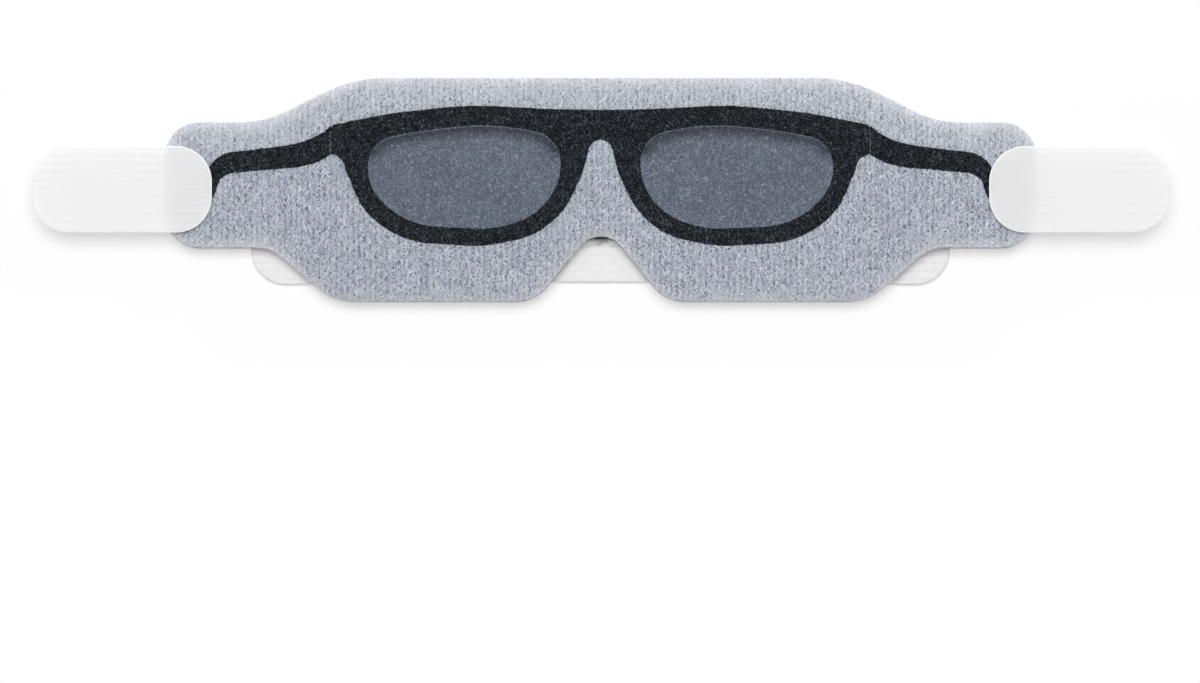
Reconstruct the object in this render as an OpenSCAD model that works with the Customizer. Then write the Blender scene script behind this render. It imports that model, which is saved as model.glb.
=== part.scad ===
// Eye shield that a newborn wears under treatment lamps, lying flat with its printed front up.
// X runs along the shield, Y up the forehead, Z out of the printed front.
// The origin is under the middle of the shield, on the surface that it lies on.
// The padded shield is drawn as two halves and two wings, parted where it bends:
// across the nose and at the neck of each wing.

/* [Shield outline] */
// Height of the shield over the eyes
body_h = 49; // [47:0.2:52]
// How far the straight top edge runs past a lens
brow_past_lens = 2.9; // [1.5:0.1:5]
// How far the straight bottom edge runs past a lens
cheek_past_lens = 7.3; // [5:0.1:9]
// Length of a wing, from its bend to its tip
wing_len = 18.7; // [17:0.1:22]
// Height of a wing
wing_h = 27.4; // [25.6:0.2:29]
// How far the middle of a wing lies above the middle of the shield
wing_rise = 1; // [0.6:0.1:1.4]
// How far inside the bend the upper edge of a wing starts
root_top_inset = 3.5; // [2.5:0.1:5]
// How far inside the bend the lower edge of a wing starts
root_low_inset = 5.1; // [3.5:0.1:7]
// How far a wing's end bulges
tip_crown = 0.9; // [0.4:0.1:1.4]

/* [Nose notch] */
// Width of the notch at its top
notch_top_w = 5.6; // [5.5:0.1:7]
// Width of the notch at its mouth
notch_mouth_w = 28.9; // [27:0.1:32]
// Height of the notch
notch_h = 14.3; // [13:0.1:16]

/* [Layers] */
// Thickness of the head strap
strap_t = 0.8; // [0.5:0.05:1.2]
// Space between the head strap and the back of the shield
strap_space = 0.1; // [0.05:0.05:0.2]
// Thickness of the skin lining
lining_t = 0.5; // [0.3:0.05:0.8]
// Thickness of the blackout film
film_t = 0.2; // [0.1:0.05:0.3]
// Thickness of the foam core
foam_t = 1.6; // [1.2:0.1:2.2]
// Thickness of the looped face fabric
fabric_t = 0.9; // [0.6:0.05:1.2]
// Thickness of the printed layer
ink_t = 0.15; // [0.1:0.01:0.2]
// Width of the parting at each bend
bend_gap = 0.1; // [0.05:0.01:0.15]

/* [Printed lenses] */
// Distance from the middle to a lens
lens_in = 8.6; // [8:0.1:9.6]
// Width of a lens
lens_w = 43; // [39:0.1:47]
// Height of a lens at its highest
lens_h = 22.9; // [21:0.1:25]
// Height of the bottom of the lenses below the middle of the shield
lens_drop = 8.7; // [7.8:0.1:9.6]

/* [Printed frame] */
// Width of the frame above a lens
rim_top = 4; // [3.4:0.1:4.8]
// Width of the frame beside a lens
rim_side = 4.4; // [3.8:0.1:5]
// Width of the frame below a lens
rim_low = 3.3; // [2.6:0.1:4]
// Width of the frame from a lens to the printed hinge
end_piece = 7.7; // [6.8:0.1:9]
// How far the hinge corner lies below the top of the frame
hinge_fall = 4; // [3.4:0.1:4.8]
// Height of the bridge in the middle
bridge_h = 6.6; // [5.4:0.1:7.2]
// Length of a temple from the hinge to the bend of the wing
temple_run = 18.3; // [16:0.1:21]
// Height of a temple
temple_h = 4.8; // [4:0.1:5.4]
// How far a temple's lower edge falls from the hinge corner to the bend
temple_fall = 10.1; // [9.2:0.1:10.8]
// How far a temple's tip reaches under the tab
temple_tuck = 1.6; // [0.5:0.1:3]

/* [Tabs] */
// Length of a tab
tab_len = 39.4; // [34:0.2:46]
// Width of a tab
tab_w = 19; // [16:0.5:22]
// Corner radius of a tab
tab_r = 7.8; // [5:0.1:9]
// Length of a tab that grips the wing
tab_grip = 10.9; // [8:0.1:13]
// Thickness of a tab's web
tab_t = 0.5; // [0.3:0.05:0.8]
// Height of the moulded hooks
hook_h = 0.45; // [0.3:0.05:0.6]
// Width of a row of hooks
hook_row_w = 0.35; // [0.25:0.05:0.5]
// Distance from one row of hooks to the next
hook_pitch = 1.8; // [1.4:0.1:2.4]
// Bare margin round the rows of hooks
hook_margin = 0.8; // [0.5:0.1:1.5]
// Space between the hooks' tips and the print
hook_space = 0.05; // [0.02:0.01:0.1]

/* [Head strap] */
// Width of the head strap
strap_w = 32; // [28:0.5:33]
// Corner radius of the head strap
strap_r = 7.6; // [5:0.1:12]
// How far the strap's lower edge lies above the shield's lower edge
strap_rise = 3.6; // [2:0.1:5]
// Distance from the end of the strap to the bend of a wing
strap_inset = 0.4; // [0.2:0.1:2]

/* [Hidden] */

// Colours as they look in daylight
fabric_blue = [0.66, 0.69, 0.74];
ink_black = [0.08, 0.09, 0.10];
ink_lens = [0.40, 0.43, 0.49];
tape_white = [0.93, 0.93, 0.94];
film_black = [0.04, 0.04, 0.05];
foam_grey = [0.55, 0.56, 0.58];
lining_white = [0.90, 0.90, 0.90];

// Angle that one facet of a round corner turns
facet_turn = 7.5;

// Heights of the layers, from the surface that the shield lies on
lining_z = strap_t + strap_space;
film_z = lining_z + lining_t;
foam_z = film_z + film_t;
fabric_z = foam_z + foam_t;
ink_z = fabric_z + fabric_t;
hook_z = ink_z + ink_t + hook_space;
web_z = hook_z + hook_h;

// Places along the shield, from the lens out to the tab
lens_out = lens_in + lens_w;
brow_half = lens_out + brow_past_lens;
cheek_half = lens_out + cheek_past_lens;
hinge_x = lens_out + end_piece;
bend_x = hinge_x + temple_run;
strap_len = 2 * (bend_x - strap_inset);
tip_x = bend_x + wing_len;
tab_x = tip_x - tab_grip;
temple_end = tab_x + temple_tuck;

// Places up the shield
brow_y = body_h / 2;
wing_top = wing_rise + wing_h / 2;
wing_low = wing_rise - wing_h / 2;
lens_top = lens_h - lens_drop;
brow_line = lens_top + rim_top;
rim_y = -lens_drop - rim_low;
hinge_y = brow_line - hinge_fall;
temple_line = hinge_y - temple_fall;
temple_top = temple_line + temple_h;

// How far the frame's upper edge dips over the nose
bridge_dip = 0.7;
arch_line = brow_line - bridge_dip - bridge_h;

// Round corners of the outline
brow_r = 30;
root_top_r = 24;
wing_corner_r = 7.5;
wing_end_r = 90;
root_low_r = 9;
cheek_r = 12;
mouth_r = 9;
notch_r = 5.7;

// Right half of the shield's outline, clockwise from the top: x, y and corner radius
body_corners = [
    [0, brow_y, 0],
    [brow_half, brow_y, brow_r],
    [bend_x - root_top_inset, wing_top, root_top_r],
    [tip_x - tip_crown, wing_top, wing_corner_r],
    [tip_x, wing_rise, wing_end_r],
    [tip_x - tip_crown, wing_low, wing_corner_r],
    [bend_x - root_low_inset, wing_low, root_low_r],
    [cheek_half, -brow_y, cheek_r],
    [notch_mouth_w / 2, -brow_y, mouth_r],
    [notch_top_w / 2, notch_h - brow_y, notch_r],
    [0, notch_h - brow_y, 0]
];

// Right lens, clockwise from its inner upper corner
lens_corners = [
    [lens_in - 0.4, lens_top - 2.6, 7],
    [lens_in + 15.9, lens_top + 0.5, 50],
    [lens_out - 10.1, lens_top - 1.6, 40],
    [lens_out - 1.2, lens_top - 3.5, 6.5],
    [lens_out + 0.1, lens_top - 12.2, 10],
    [lens_out - 7.5, 0.9 - lens_drop, 17.5],
    [lens_in + 14.5, -lens_drop - 0.1, 22],
    [lens_in + 2.9, 4 - lens_drop, 15.5],
    [lens_in + 0.4, lens_top - 11.2, 11.5]
];

// Right half of the frame's front, clockwise from the top of the bridge
front_corners = [
    [0, brow_line - bridge_dip, 0],
    [11, brow_line - 0.5, 20],
    [29, brow_line + 0.4, 60],
    [46, brow_line - 1.4, 60],
    [hinge_x, hinge_y, 1.2],
    [hinge_x, hinge_y - 6.5, 0],
    [hinge_x - 2.6, hinge_y - 6.9, 3.3],
    [hinge_x - 3.2, hinge_y - 9.9, 8],
    [lens_out - 3.3 + rim_side, rim_y + 8.2, 15],
    [lens_out - 10.9 + rim_side, rim_y + 0.6, 21],
    [lens_in + 21.5 - rim_side, rim_y - 0.6, 29],
    [lens_in + 5.7 - rim_side, rim_y + 2.7, 18],
    [lens_in - 0.3 - rim_side, hinge_y - 10.5, 12],
    [lens_in - 2.1 - rim_side, arch_line - 0.2, 2.6],
    [0, arch_line, 0]
];

// Right temple, clockwise from the hinge, with its tip bent down under the tab
temple_corners = [
    [hinge_x - 0.2, hinge_y - 0.1, 0],
    [hinge_x + 1.7, hinge_y - 1.6, 2],
    [hinge_x + 6, temple_top + 1.3, 20],
    [bend_x - 2.5, temple_top, 20],
    [tab_x + 1.5, temple_top - 1.3, 6.8],
    [temple_end, temple_line - 6, 0.5],
    [tab_x - 0.2, temple_line - 6, 0.5],
    [tab_x - 2, temple_line - 0.7, 4],
    [bend_x - 4, temple_line + 0.2, 20],
    [hinge_x + 6.8, temple_line + 0.8, 15.8],
    [hinge_x + 2.9, temple_line + 1.9, 3.4],
    [hinge_x - 0.2, temple_line + 3.6, 0]
];

// Half of the angle between the two sides that meet in a corner
function half_angle(before, at, after) =
    let (
        back = [before[0], before[1]] - [at[0], at[1]],
        on = [after[0], after[1]] - [at[0], at[1]]
    )
    acos(back * on / norm(back) / norm(on)) / 2;

// Length of side that the round of one corner takes up
function taken(corners, i) =
    let (
        count = len(corners),
        at = corners[i % count]
    )
    at[2] / tan(half_angle(corners[(i + count - 1) % count], at, corners[(i + 1) % count]));

// Share of its radius that a corner can have, so that two rounds fit on each side
function room(corners, i) =
    let (
        count = len(corners),
        at = [corners[i][0], corners[i][1]],
        before = corners[(i + count - 1) % count],
        after = corners[(i + 1) % count],
        back = norm([before[0], before[1]] - at),
        on = norm([after[0], after[1]] - at),
        mine = taken(corners, i)
    )
    mine == 0 ? 0 : min(1, back / (mine + taken(corners, i + count - 1)), on / (mine + taken(corners, i + 1)));

// Points of one round corner between the corners before and after it
function corner_arc(before, at, after, radius) =
    let (
        here = [at[0], at[1]],
        back = [before[0], before[1]] - here,
        on = [after[0], after[1]] - here,
        u = back / norm(back),
        w = on / norm(on),
        half = half_angle(before, at, after),
        centre = here + (u + w) / norm(u + w) * radius / sin(half),
        first = here + u * radius / tan(half) - centre,
        start = atan2(first[1], first[0]),
        turn = (cross(u, w) > 0 ? -1 : 1) * (180 - 2 * half),
        steps = ceil(abs(turn) / facet_turn)
    )
    radius == 0
        ? [here]
        : [for (i = [0 : steps]) centre + radius * [cos(start + turn * i / steps), sin(start + turn * i / steps)]];

// Outline with every corner rounded by its own radius
function rounded(corners) =
    let (count = len(corners))
    [for (i = [0 : count - 1])
        each corner_arc(
            corners[(i + count - 1) % count],
            corners[i],
            corners[(i + 1) % count],
            corners[i][2] * room(corners, i) * (room(corners, i) < 1 ? 0.99 : 1)
        )];

// Corners of a rectangle with one radius, centred on a point
function box_corners(centre, w, h, r) = [
    [centre[0] - w / 2, centre[1] + h / 2, r],
    [centre[0] + w / 2, centre[1] + h / 2, r],
    [centre[0] + w / 2, centre[1] - h / 2, r],
    [centre[0] - w / 2, centre[1] - h / 2, r]
];

// Flat sheet with a rounded outline
module sheet(corners, z, t) {
    translate([0, 0, z])
        linear_extrude(t)
            polygon(rounded(corners));
}

// Slab that keeps what lies between two distances from the middle
module between(near, far, z, t) {
    translate([near, -body_h, z - t])
        cube([far - near, 2 * body_h, 3 * t]);
}

// Right half of a layer, from the nose to the bend of the wing
module half_layer(z, t) {
    intersection() {
        sheet(body_corners, z, t);
        between(bend_gap / 2, bend_x - bend_gap / 2, z, t);
    }
}

// Right wing of a layer, outside the bend
module wing_layer(z, t) {
    intersection() {
        sheet(body_corners, z, t);
        between(bend_x + bend_gap / 2, tip_x + 1, z, t);
    }
}

// Right half of the printed frame round its lens
module half_frame() {
    difference() {
        intersection() {
            sheet(front_corners, ink_z, ink_t);
            between(bend_gap / 2, hinge_x + 1, ink_z, ink_t);
        }
        sheet(lens_corners, ink_z - ink_t, 3 * ink_t);
    }
}

// Right temple from the hinge to the bend of the wing
module temple_print() {
    intersection() {
        sheet(temple_corners, ink_z, ink_t);
        between(hinge_x, bend_x - bend_gap / 2, ink_z, ink_t);
    }
}

// Right temple's tip on the wing
module temple_tip_print() {
    intersection() {
        sheet(temple_corners, ink_z, ink_t);
        between(bend_x + bend_gap / 2, temple_end + 1, ink_z, ink_t);
    }
}

// Right tab: a web with rows of moulded hooks underneath
module tab() {
    centre = [tab_x + tab_len / 2, 0];
    field_w = tab_w - 2 * hook_margin;
    rows = floor((field_w - hook_row_w) / hook_pitch / 2);
    sheet(box_corners(centre, tab_len, tab_w, tab_r), web_z, tab_t);
    intersection() {
        sheet(
            box_corners(centre, tab_len - 2 * hook_margin, field_w, tab_r - hook_margin),
            hook_z, hook_h + tab_t / 2
        );
        union() {
            for (row = [-rows : rows]) {
                translate([tab_x, row * hook_pitch - hook_row_w / 2, hook_z])
                    cube([tab_len, hook_row_w, hook_h + tab_t / 2]);
            }
        }
    }
}

// Head strap
module head_strap() {
    color(tape_white)
        sheet(
            box_corners([0, strap_rise + strap_w / 2 - brow_y], strap_len, strap_w, strap_r),
            0, strap_t
        );
}

// Skin lining
module skin_lining_right() {
    color(lining_white) half_layer(lining_z, lining_t);
}
module skin_lining_left() {
    mirror([1, 0, 0]) skin_lining_right();
}
module skin_lining_right_wing() {
    color(lining_white) wing_layer(lining_z, lining_t);
}
module skin_lining_left_wing() {
    mirror([1, 0, 0]) skin_lining_right_wing();
}

// Blackout film
module blackout_film_right() {
    color(film_black) half_layer(film_z, film_t);
}
module blackout_film_left() {
    mirror([1, 0, 0]) blackout_film_right();
}
module blackout_film_right_wing() {
    color(film_black) wing_layer(film_z, film_t);
}
module blackout_film_left_wing() {
    mirror([1, 0, 0]) blackout_film_right_wing();
}

// Foam core
module foam_core_right() {
    color(foam_grey) half_layer(foam_z, foam_t);
}
module foam_core_left() {
    mirror([1, 0, 0]) foam_core_right();
}
module foam_core_right_wing() {
    color(foam_grey) wing_layer(foam_z, foam_t);
}
module foam_core_left_wing() {
    mirror([1, 0, 0]) foam_core_right_wing();
}

// Looped face fabric
module face_fabric_right() {
    color(fabric_blue) half_layer(fabric_z, fabric_t);
}
module face_fabric_left() {
    mirror([1, 0, 0]) face_fabric_right();
}
module face_fabric_right_wing() {
    color(fabric_blue) wing_layer(fabric_z, fabric_t);
}
module face_fabric_left_wing() {
    mirror([1, 0, 0]) face_fabric_right_wing();
}

// Printed frame
module printed_frame_right() {
    color(ink_black) half_frame();
}
module printed_frame_left() {
    mirror([1, 0, 0]) printed_frame_right();
}

// Printed lenses
module printed_lens_right() {
    color(ink_lens) sheet(lens_corners, ink_z, ink_t);
}
module printed_lens_left() {
    mirror([1, 0, 0]) printed_lens_right();
}

// Printed temples
module printed_temple_right() {
    color(ink_black) temple_print();
}
module printed_temple_left() {
    mirror([1, 0, 0]) printed_temple_right();
}
module printed_temple_tip_right() {
    color(ink_black) temple_tip_print();
}
module printed_temple_tip_left() {
    mirror([1, 0, 0]) printed_temple_tip_right();
}

// Hook tabs
module hook_tab_right() {
    color(tape_white) tab();
}
module hook_tab_left() {
    mirror([1, 0, 0]) hook_tab_right();
}

head_strap();
skin_lining_left();
skin_lining_right();
skin_lining_left_wing();
skin_lining_right_wing();
blackout_film_left();
blackout_film_right();
blackout_film_left_wing();
blackout_film_right_wing();
foam_core_left();
foam_core_right();
foam_core_left_wing();
foam_core_right_wing();
face_fabric_left();
face_fabric_right();
face_fabric_left_wing();
face_fabric_right_wing();
printed_frame_left();
printed_frame_right();
printed_lens_left();
printed_lens_right();
printed_temple_left();
printed_temple_right();
printed_temple_tip_left();
printed_temple_tip_right();
hook_tab_left();
hook_tab_right();
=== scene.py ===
"""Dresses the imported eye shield: cloth with its pile, padding, prints, hook tape and strap.

Everything is worked out in millimetres with numpy and goes into meshes in metres,
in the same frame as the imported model: X along the shield, Y up the forehead, Z out of the print.
"""

import math

import bpy
import numpy as np
from bpy.props import FloatProperty, FloatVectorProperty, IntProperty, PointerProperty
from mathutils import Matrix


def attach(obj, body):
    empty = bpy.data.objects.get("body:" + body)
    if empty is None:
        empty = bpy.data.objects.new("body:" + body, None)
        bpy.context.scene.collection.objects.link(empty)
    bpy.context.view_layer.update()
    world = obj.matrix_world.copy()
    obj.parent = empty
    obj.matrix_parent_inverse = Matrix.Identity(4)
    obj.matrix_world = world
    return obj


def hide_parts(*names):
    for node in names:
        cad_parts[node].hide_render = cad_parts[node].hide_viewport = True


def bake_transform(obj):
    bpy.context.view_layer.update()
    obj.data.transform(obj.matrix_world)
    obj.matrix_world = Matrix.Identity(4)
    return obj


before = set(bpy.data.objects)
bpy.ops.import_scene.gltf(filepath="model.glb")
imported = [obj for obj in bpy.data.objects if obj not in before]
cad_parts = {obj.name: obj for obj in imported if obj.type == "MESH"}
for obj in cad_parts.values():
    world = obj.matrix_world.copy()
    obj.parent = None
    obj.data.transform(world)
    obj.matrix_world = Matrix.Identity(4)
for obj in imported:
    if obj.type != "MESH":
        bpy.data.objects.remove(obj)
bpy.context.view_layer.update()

bl_info = {
    "name": "Phototherapy Eye Shield",
    "version": (1, 0, 0),
    "blender": (4, 5, 0),
    "location": "3D View > Sidebar > Eye Shield",
    "description": "Cloth, pile, padding, prints, hook tape and strap of a padded eye shield",
    "category": "Object",
}

MM = 0.001

# Signs of x and y at the corners of a box, clockwise from the upper left
CORNER_SIGNS = ((-1, 1), (1, 1), (1, -1), (-1, -1))

# Outline of the shield, in millimetres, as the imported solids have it
BROW_Y = 24.5
BROW_HALF, CHEEK_HALF = 54.5, 58.9
HINGE_X, BEND_X, TAB_X, TEMPLE_END, TIP_X = 59.3, 77.6, 85.4, 87.0, 96.3
WING_TOP, WING_LOW, WING_RISE = 14.7, -12.7, 1.0
TIP_CROWN, ROOT_TOP_INSET, ROOT_LOW_INSET = 0.9, 3.5, 5.1
NOTCH_TOP_W, NOTCH_MOUTH_W, NOTCH_H = 5.6, 28.9, 14.3
BODY_CORNERS = [
    [0, BROW_Y, 0],
    [BROW_HALF, BROW_Y, 30],
    [BEND_X - ROOT_TOP_INSET, WING_TOP, 24],
    [TIP_X - TIP_CROWN, WING_TOP, 7.5],
    [TIP_X, WING_RISE, 90],
    [TIP_X - TIP_CROWN, WING_LOW, 7.5],
    [BEND_X - ROOT_LOW_INSET, WING_LOW, 9],
    [CHEEK_HALF, -BROW_Y, 12],
    [NOTCH_MOUTH_W / 2, -BROW_Y, 9],
    [NOTCH_TOP_W / 2, NOTCH_H - BROW_Y, 5.7],
    [0, NOTCH_H - BROW_Y, 0],
]

# Outlines of the prints on the right half
LENS_IN, LENS_OUT, LENS_TOP, LENS_DROP = 8.6, 51.6, 14.2, 8.7
RIM_SIDE, RIM_Y, HINGE_Y = 4.4, -12.0, 14.2
BROW_LINE, BRIDGE_DIP, ARCH_LINE = 18.2, 0.7, 10.9
TEMPLE_TOP, TEMPLE_LINE = 8.9, 4.1
LENS_CORNERS = [
    [LENS_IN - 0.4, LENS_TOP - 2.6, 7],
    [LENS_IN + 15.9, LENS_TOP + 0.5, 50],
    [LENS_OUT - 10.1, LENS_TOP - 1.6, 40],
    [LENS_OUT - 1.2, LENS_TOP - 3.5, 6.5],
    [LENS_OUT + 0.1, LENS_TOP - 12.2, 10],
    [LENS_OUT - 7.5, 0.9 - LENS_DROP, 17.5],
    [LENS_IN + 14.5, -LENS_DROP - 0.1, 22],
    [LENS_IN + 2.9, 4 - LENS_DROP, 15.5],
    [LENS_IN + 0.4, LENS_TOP - 11.2, 11.5],
]
ARCH_CORNER = [LENS_IN - 2.1 - RIM_SIDE, ARCH_LINE - 0.2]
FRONT_CORNERS = [
    [0, BROW_LINE - BRIDGE_DIP, 0],
    [11, BROW_LINE - 0.5, 20],
    [29, BROW_LINE + 0.4, 60],
    [46, BROW_LINE - 1.4, 60],
    [HINGE_X, HINGE_Y, 1.2],
    [HINGE_X, HINGE_Y - 6.5, 0],
    [HINGE_X - 2.6, HINGE_Y - 6.9, 3.3],
    [HINGE_X - 3.2, HINGE_Y - 9.9, 8],
    [LENS_OUT - 3.3 + RIM_SIDE, RIM_Y + 8.2, 15],
    [LENS_OUT - 10.9 + RIM_SIDE, RIM_Y + 0.6, 21],
    [LENS_IN + 21.5 - RIM_SIDE, RIM_Y - 0.6, 29],
    [LENS_IN + 5.7 - RIM_SIDE, RIM_Y + 2.7, 18],
    [LENS_IN - 0.3 - RIM_SIDE, HINGE_Y - 10.5, 12],
    [*ARCH_CORNER, 2.6],
    [0, ARCH_LINE, 0],
]
TEMPLE_TIP_OUT = [TEMPLE_END, TEMPLE_LINE - 6]
TEMPLE_TIP_IN = [TAB_X - 0.2, TEMPLE_LINE - 6]
TEMPLE_CORNERS = [
    [HINGE_X - 0.2, HINGE_Y - 0.1, 0],
    [HINGE_X + 1.7, HINGE_Y - 1.6, 2],
    [HINGE_X + 6, TEMPLE_TOP + 1.3, 20],
    [BEND_X - 2.5, TEMPLE_TOP, 20],
    [TAB_X + 1.5, TEMPLE_TOP - 1.3, 6.8],
    [*TEMPLE_TIP_OUT, 0.5],
    [*TEMPLE_TIP_IN, 0.5],
    [TAB_X - 2, TEMPLE_LINE - 0.7, 4],
    [BEND_X - 4, TEMPLE_LINE + 0.2, 20],
    [HINGE_X + 6.8, TEMPLE_LINE + 0.8, 15.8],
    [HINGE_X + 2.9, TEMPLE_LINE + 1.9, 3.4],
    [HINGE_X - 0.2, TEMPLE_LINE + 3.6, 0],
]

# Tabs and strap
TAB_LEN, TAB_W, TAB_R = 39.4, 19.0, 7.8
STRAP_LEN, STRAP_W, STRAP_R, STRAP_Y = 154.4, 32.0, 7.6, -4.9

# Heights of the layers
STRAP_TOP, LINING_Z, FILM_Z, FOAM_Z, FABRIC_Z, FACE_Z = 0.8, 0.9, 1.4, 1.6, 3.2, 4.1
WEB_Z, WEB_TOP = 4.75, 5.25
LAYER_GAP, PRINT_DEPTH = 0.01, 0.25

# How far film and lining stand out of the front's outline, and the film once more at the top of the notch
FILM_OUT, LINING_OUT, FILM_PEEK, PEEK_SPREAD = 0.05, 0.2, 0.62, 2.2

# A hook under the tape: points down its middle, its radius at each, and how far its roots keep from the rim
HOOK_PATH = [[0, 0, 0], [0, 0, -0.2], [0.05, 0, -0.34], [0.17, 0, -0.42], [0.29, 0, -0.36], [0.33, 0, -0.27]]
HOOK_THICK = [0.13, 0.1, 0.085, 0.08, 0.07, 0.04]
HOOK_INSET = 0.9

# Where the cloth is parted between pieces
SEAM_X = 40.0

# Fineness: distance of a layer's columns in millimetres with its rows, then counts of points
FACE_GRID, LAYER_GRID = (0.21, 70), (0.6, 40)
LENS_GRID, TEMPLE_GRID, TAB_GRID, STRAP_GRID = (110, 64), (110, 13), (170, 84), (260, 64)
RIM_ROUND, RIM_ACROSS, BRIDGE_ACROSS, BRIDGE_ALONG, SPOKE_STARTS = 520, 11, 13, 9, 1600
THREAD_RINGS, THREAD_SIDES, HOOK_SIDES = 5, 3, 4
EDGE_FIBRES, FILM_FIBRES, HINGE_FIBRES = 2400, 125, 9

# Largest angle between two faces, in degrees, that is still shaded round
CLOTH_SHARP, PRINT_SHARP, TAPE_SHARP, THREAD_SHARP = 40, 50, 60, 80

# What lies under a loop of the pile, the share of the loops that ink leaves standing, and the random seed
BARE, ON_FRAME, ON_LENS, ON_TEMPLE = range(4)
INKED_SHARE, SEED = 0.62, 11

# Stage, in metres. To the eye the floor is whole out to POOL_FULL round the object and gone at POOL_GONE.
# Scattered light goes through it within NEAR_FLOOR of where it starts. Where the ambient occlusion under
# it, out to LOOK_DOWN, is less than OPEN_BELOW, a piece lies beneath it and the eye sees through it.
FLOOR_HALF, FLOOR_Z = 3.0, -0.0001
POOL_FULL, POOL_GONE, NEAR_FLOOR = 0.007, 0.018, 0.003
LOOK_DOWN, OPEN_BELOW = 0.25, 0.98
KEY_PLACE, KEY_SIZE = (-0.05, 0.45, 1.25), (1.3, 1.0)
CAMERA_X, CAMERA_Y, CAMERA_LENS, CAMERA_SENSOR = -0.00011, -0.03344, 100, 36


def linear(*srgb):
    """Scene-linear colour of an sRGB colour from 0 to 255."""
    c = np.array(srgb, float) / 255
    return tuple(np.where(c <= 0.04045, c / 12.92, ((c + 0.055) / 1.055) ** 2.4))


def tint(name, description, *srgb):
    """Colour property with an sRGB default."""
    return FloatVectorProperty(
        name=name, description=description, default=linear(*srgb), size=3, min=0, max=1, subtype="COLOR"
    )


def size_of(name, description, millimetres, low, high):
    """Length property with its default and range in millimetres."""
    return FloatProperty(
        name=name,
        description=description,
        default=millimetres * MM,
        min=low * MM,
        max=high * MM,
        precision=5,
        subtype="DISTANCE",
        unit="LENGTH",
    )


def amount(name, description, default, high, **kind):
    """Property of a plain number from 0 up to a limit."""
    return FloatProperty(name=name, description=description, default=default, min=0, max=high, **kind)


class EyeShieldSizes(bpy.types.PropertyGroup):
    """Sizes of the cloth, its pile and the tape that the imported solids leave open."""

    edge_round: size_of("Edge round", "Distance in which the front cloth falls to its cut edge", 2.5, 0.5, 5)
    edge_top: size_of("Edge height", "Height of the front cloth at its cut edge", 3.3, 2, 4)
    wale_pitch: size_of("Wale pitch", "Distance between two upright ribs of the knit", 1.25, 0.6, 3)
    wale_depth: size_of("Wale depth", "Height of a rib over the groove beside it", 0.09, 0, 0.4)
    print_lift: size_of("Print lift", "Height of the inked pile over the bare cloth", 0.09, 0.02, 0.3)
    loop_length: size_of("Loop length", "Usual length of one thread of the pile", 1.05, 0.4, 3)
    loop_radius: size_of("Loop radius", "Usual radius of one thread of the pile", 0.088, 0.02, 0.2)
    loop_rise: size_of("Loop rise", "Height of a loop over the cloth", 0.2, 0.02, 0.6)
    hook_pitch: size_of("Hook pitch", "Distance between two hooks in a row", 0.95, 0.5, 3)
    row_pitch: size_of("Row pitch", "Distance between two rows of hooks", 1.8, 0.8, 4)
    strap_bow: size_of("Strap bow", "How far the middle of the strap lies above its ends", 0.55, 0, 2)


class EyeShieldLook(bpy.types.PropertyGroup):
    """Colours and amounts of the finishes."""

    cloth: tint("Cloth", "Colour of the knit between the loops", 178, 186, 203)
    # Painted shade: the bare cloth takes this colour down in the grooves between its ribs and the pits
    # between its fibres.
    cloth_pit: tint("Cloth pits", "Colour down in the knit", 58, 68, 92)
    loop_dark: tint("Dark loops", "Colour of the darkest loops", 168, 176, 193)
    loop_light: tint("Light loops", "Colour of the lightest loops", 246, 250, 255)
    # Painted highlight: the colour that the front cloth and its loops take along the brow and the cut edges,
    # standing in for light
    cloth_pale: tint("Painted edge highlight", "Colour of the painted highlight along the cloth's brow and cut edges", 240, 242, 248)
    ink: tint("Frame ink", "Colour of the inked knit of the frame", 11, 17, 22)
    ink_light: tint("Frame loops", "Colour of the lightest inked loops", 112, 122, 136)
    lens: tint("Lens ink", "Colour of the inked knit of the lenses", 92, 101, 116)
    lens_light: tint("Lens loops", "Colour of the lightest loops of the lenses", 184, 193, 208)
    tape: tint("Tape", "Colour of the moulded hook tape", 247, 247, 248)
    strap: tint("Strap", "Colour of the strap", 244, 243, 243)
    lining: tint("Lining", "Colour of the lining", 228, 228, 230)
    foam: tint("Foam", "Colour of the foam", 214, 214, 217)
    film: tint("Film", "Colour of the blackout film", 24, 25, 28)
    pile_per_wale: IntProperty(
        name="Loops in a wale",
        description="Loops of the pile along one rib from brow to cheek",
        default=285,
        min=10,
        max=400,
    )
    loop_spread: amount("Loop spread", "How far loops stray from their rib, in rib pitches", 0.33, 1)


class EyeShieldStage(bpy.types.PropertyGroup):
    """Light and view of the stage."""

    key_power: amount("Key light", "Power of the large soft lamp above the brow", 15.6, 1000, unit="POWER")
    fill: amount("Fill light", "Strength of the plain light from all round", 0.31, 2)
    bounce: amount("Light from below", "Strength of the light on what bends down past the floor", 0.7, 2)
    floor: tint("Floor", "Colour of the floor", 216, 216, 216)
    floor_glow: amount("Floor white", "Light that the floor adds for the eye alone", 0.32, 1)
    distance: size_of("Camera distance", "Distance of the camera from the print", 733.3, 100, 5000)


def sizes():
    """Sizes as plain numbers in millimetres, by name."""
    group = bpy.context.scene.eye_shield_sizes
    return {name: getattr(group, name) / MM for name in EyeShieldSizes.__annotations__}


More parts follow.
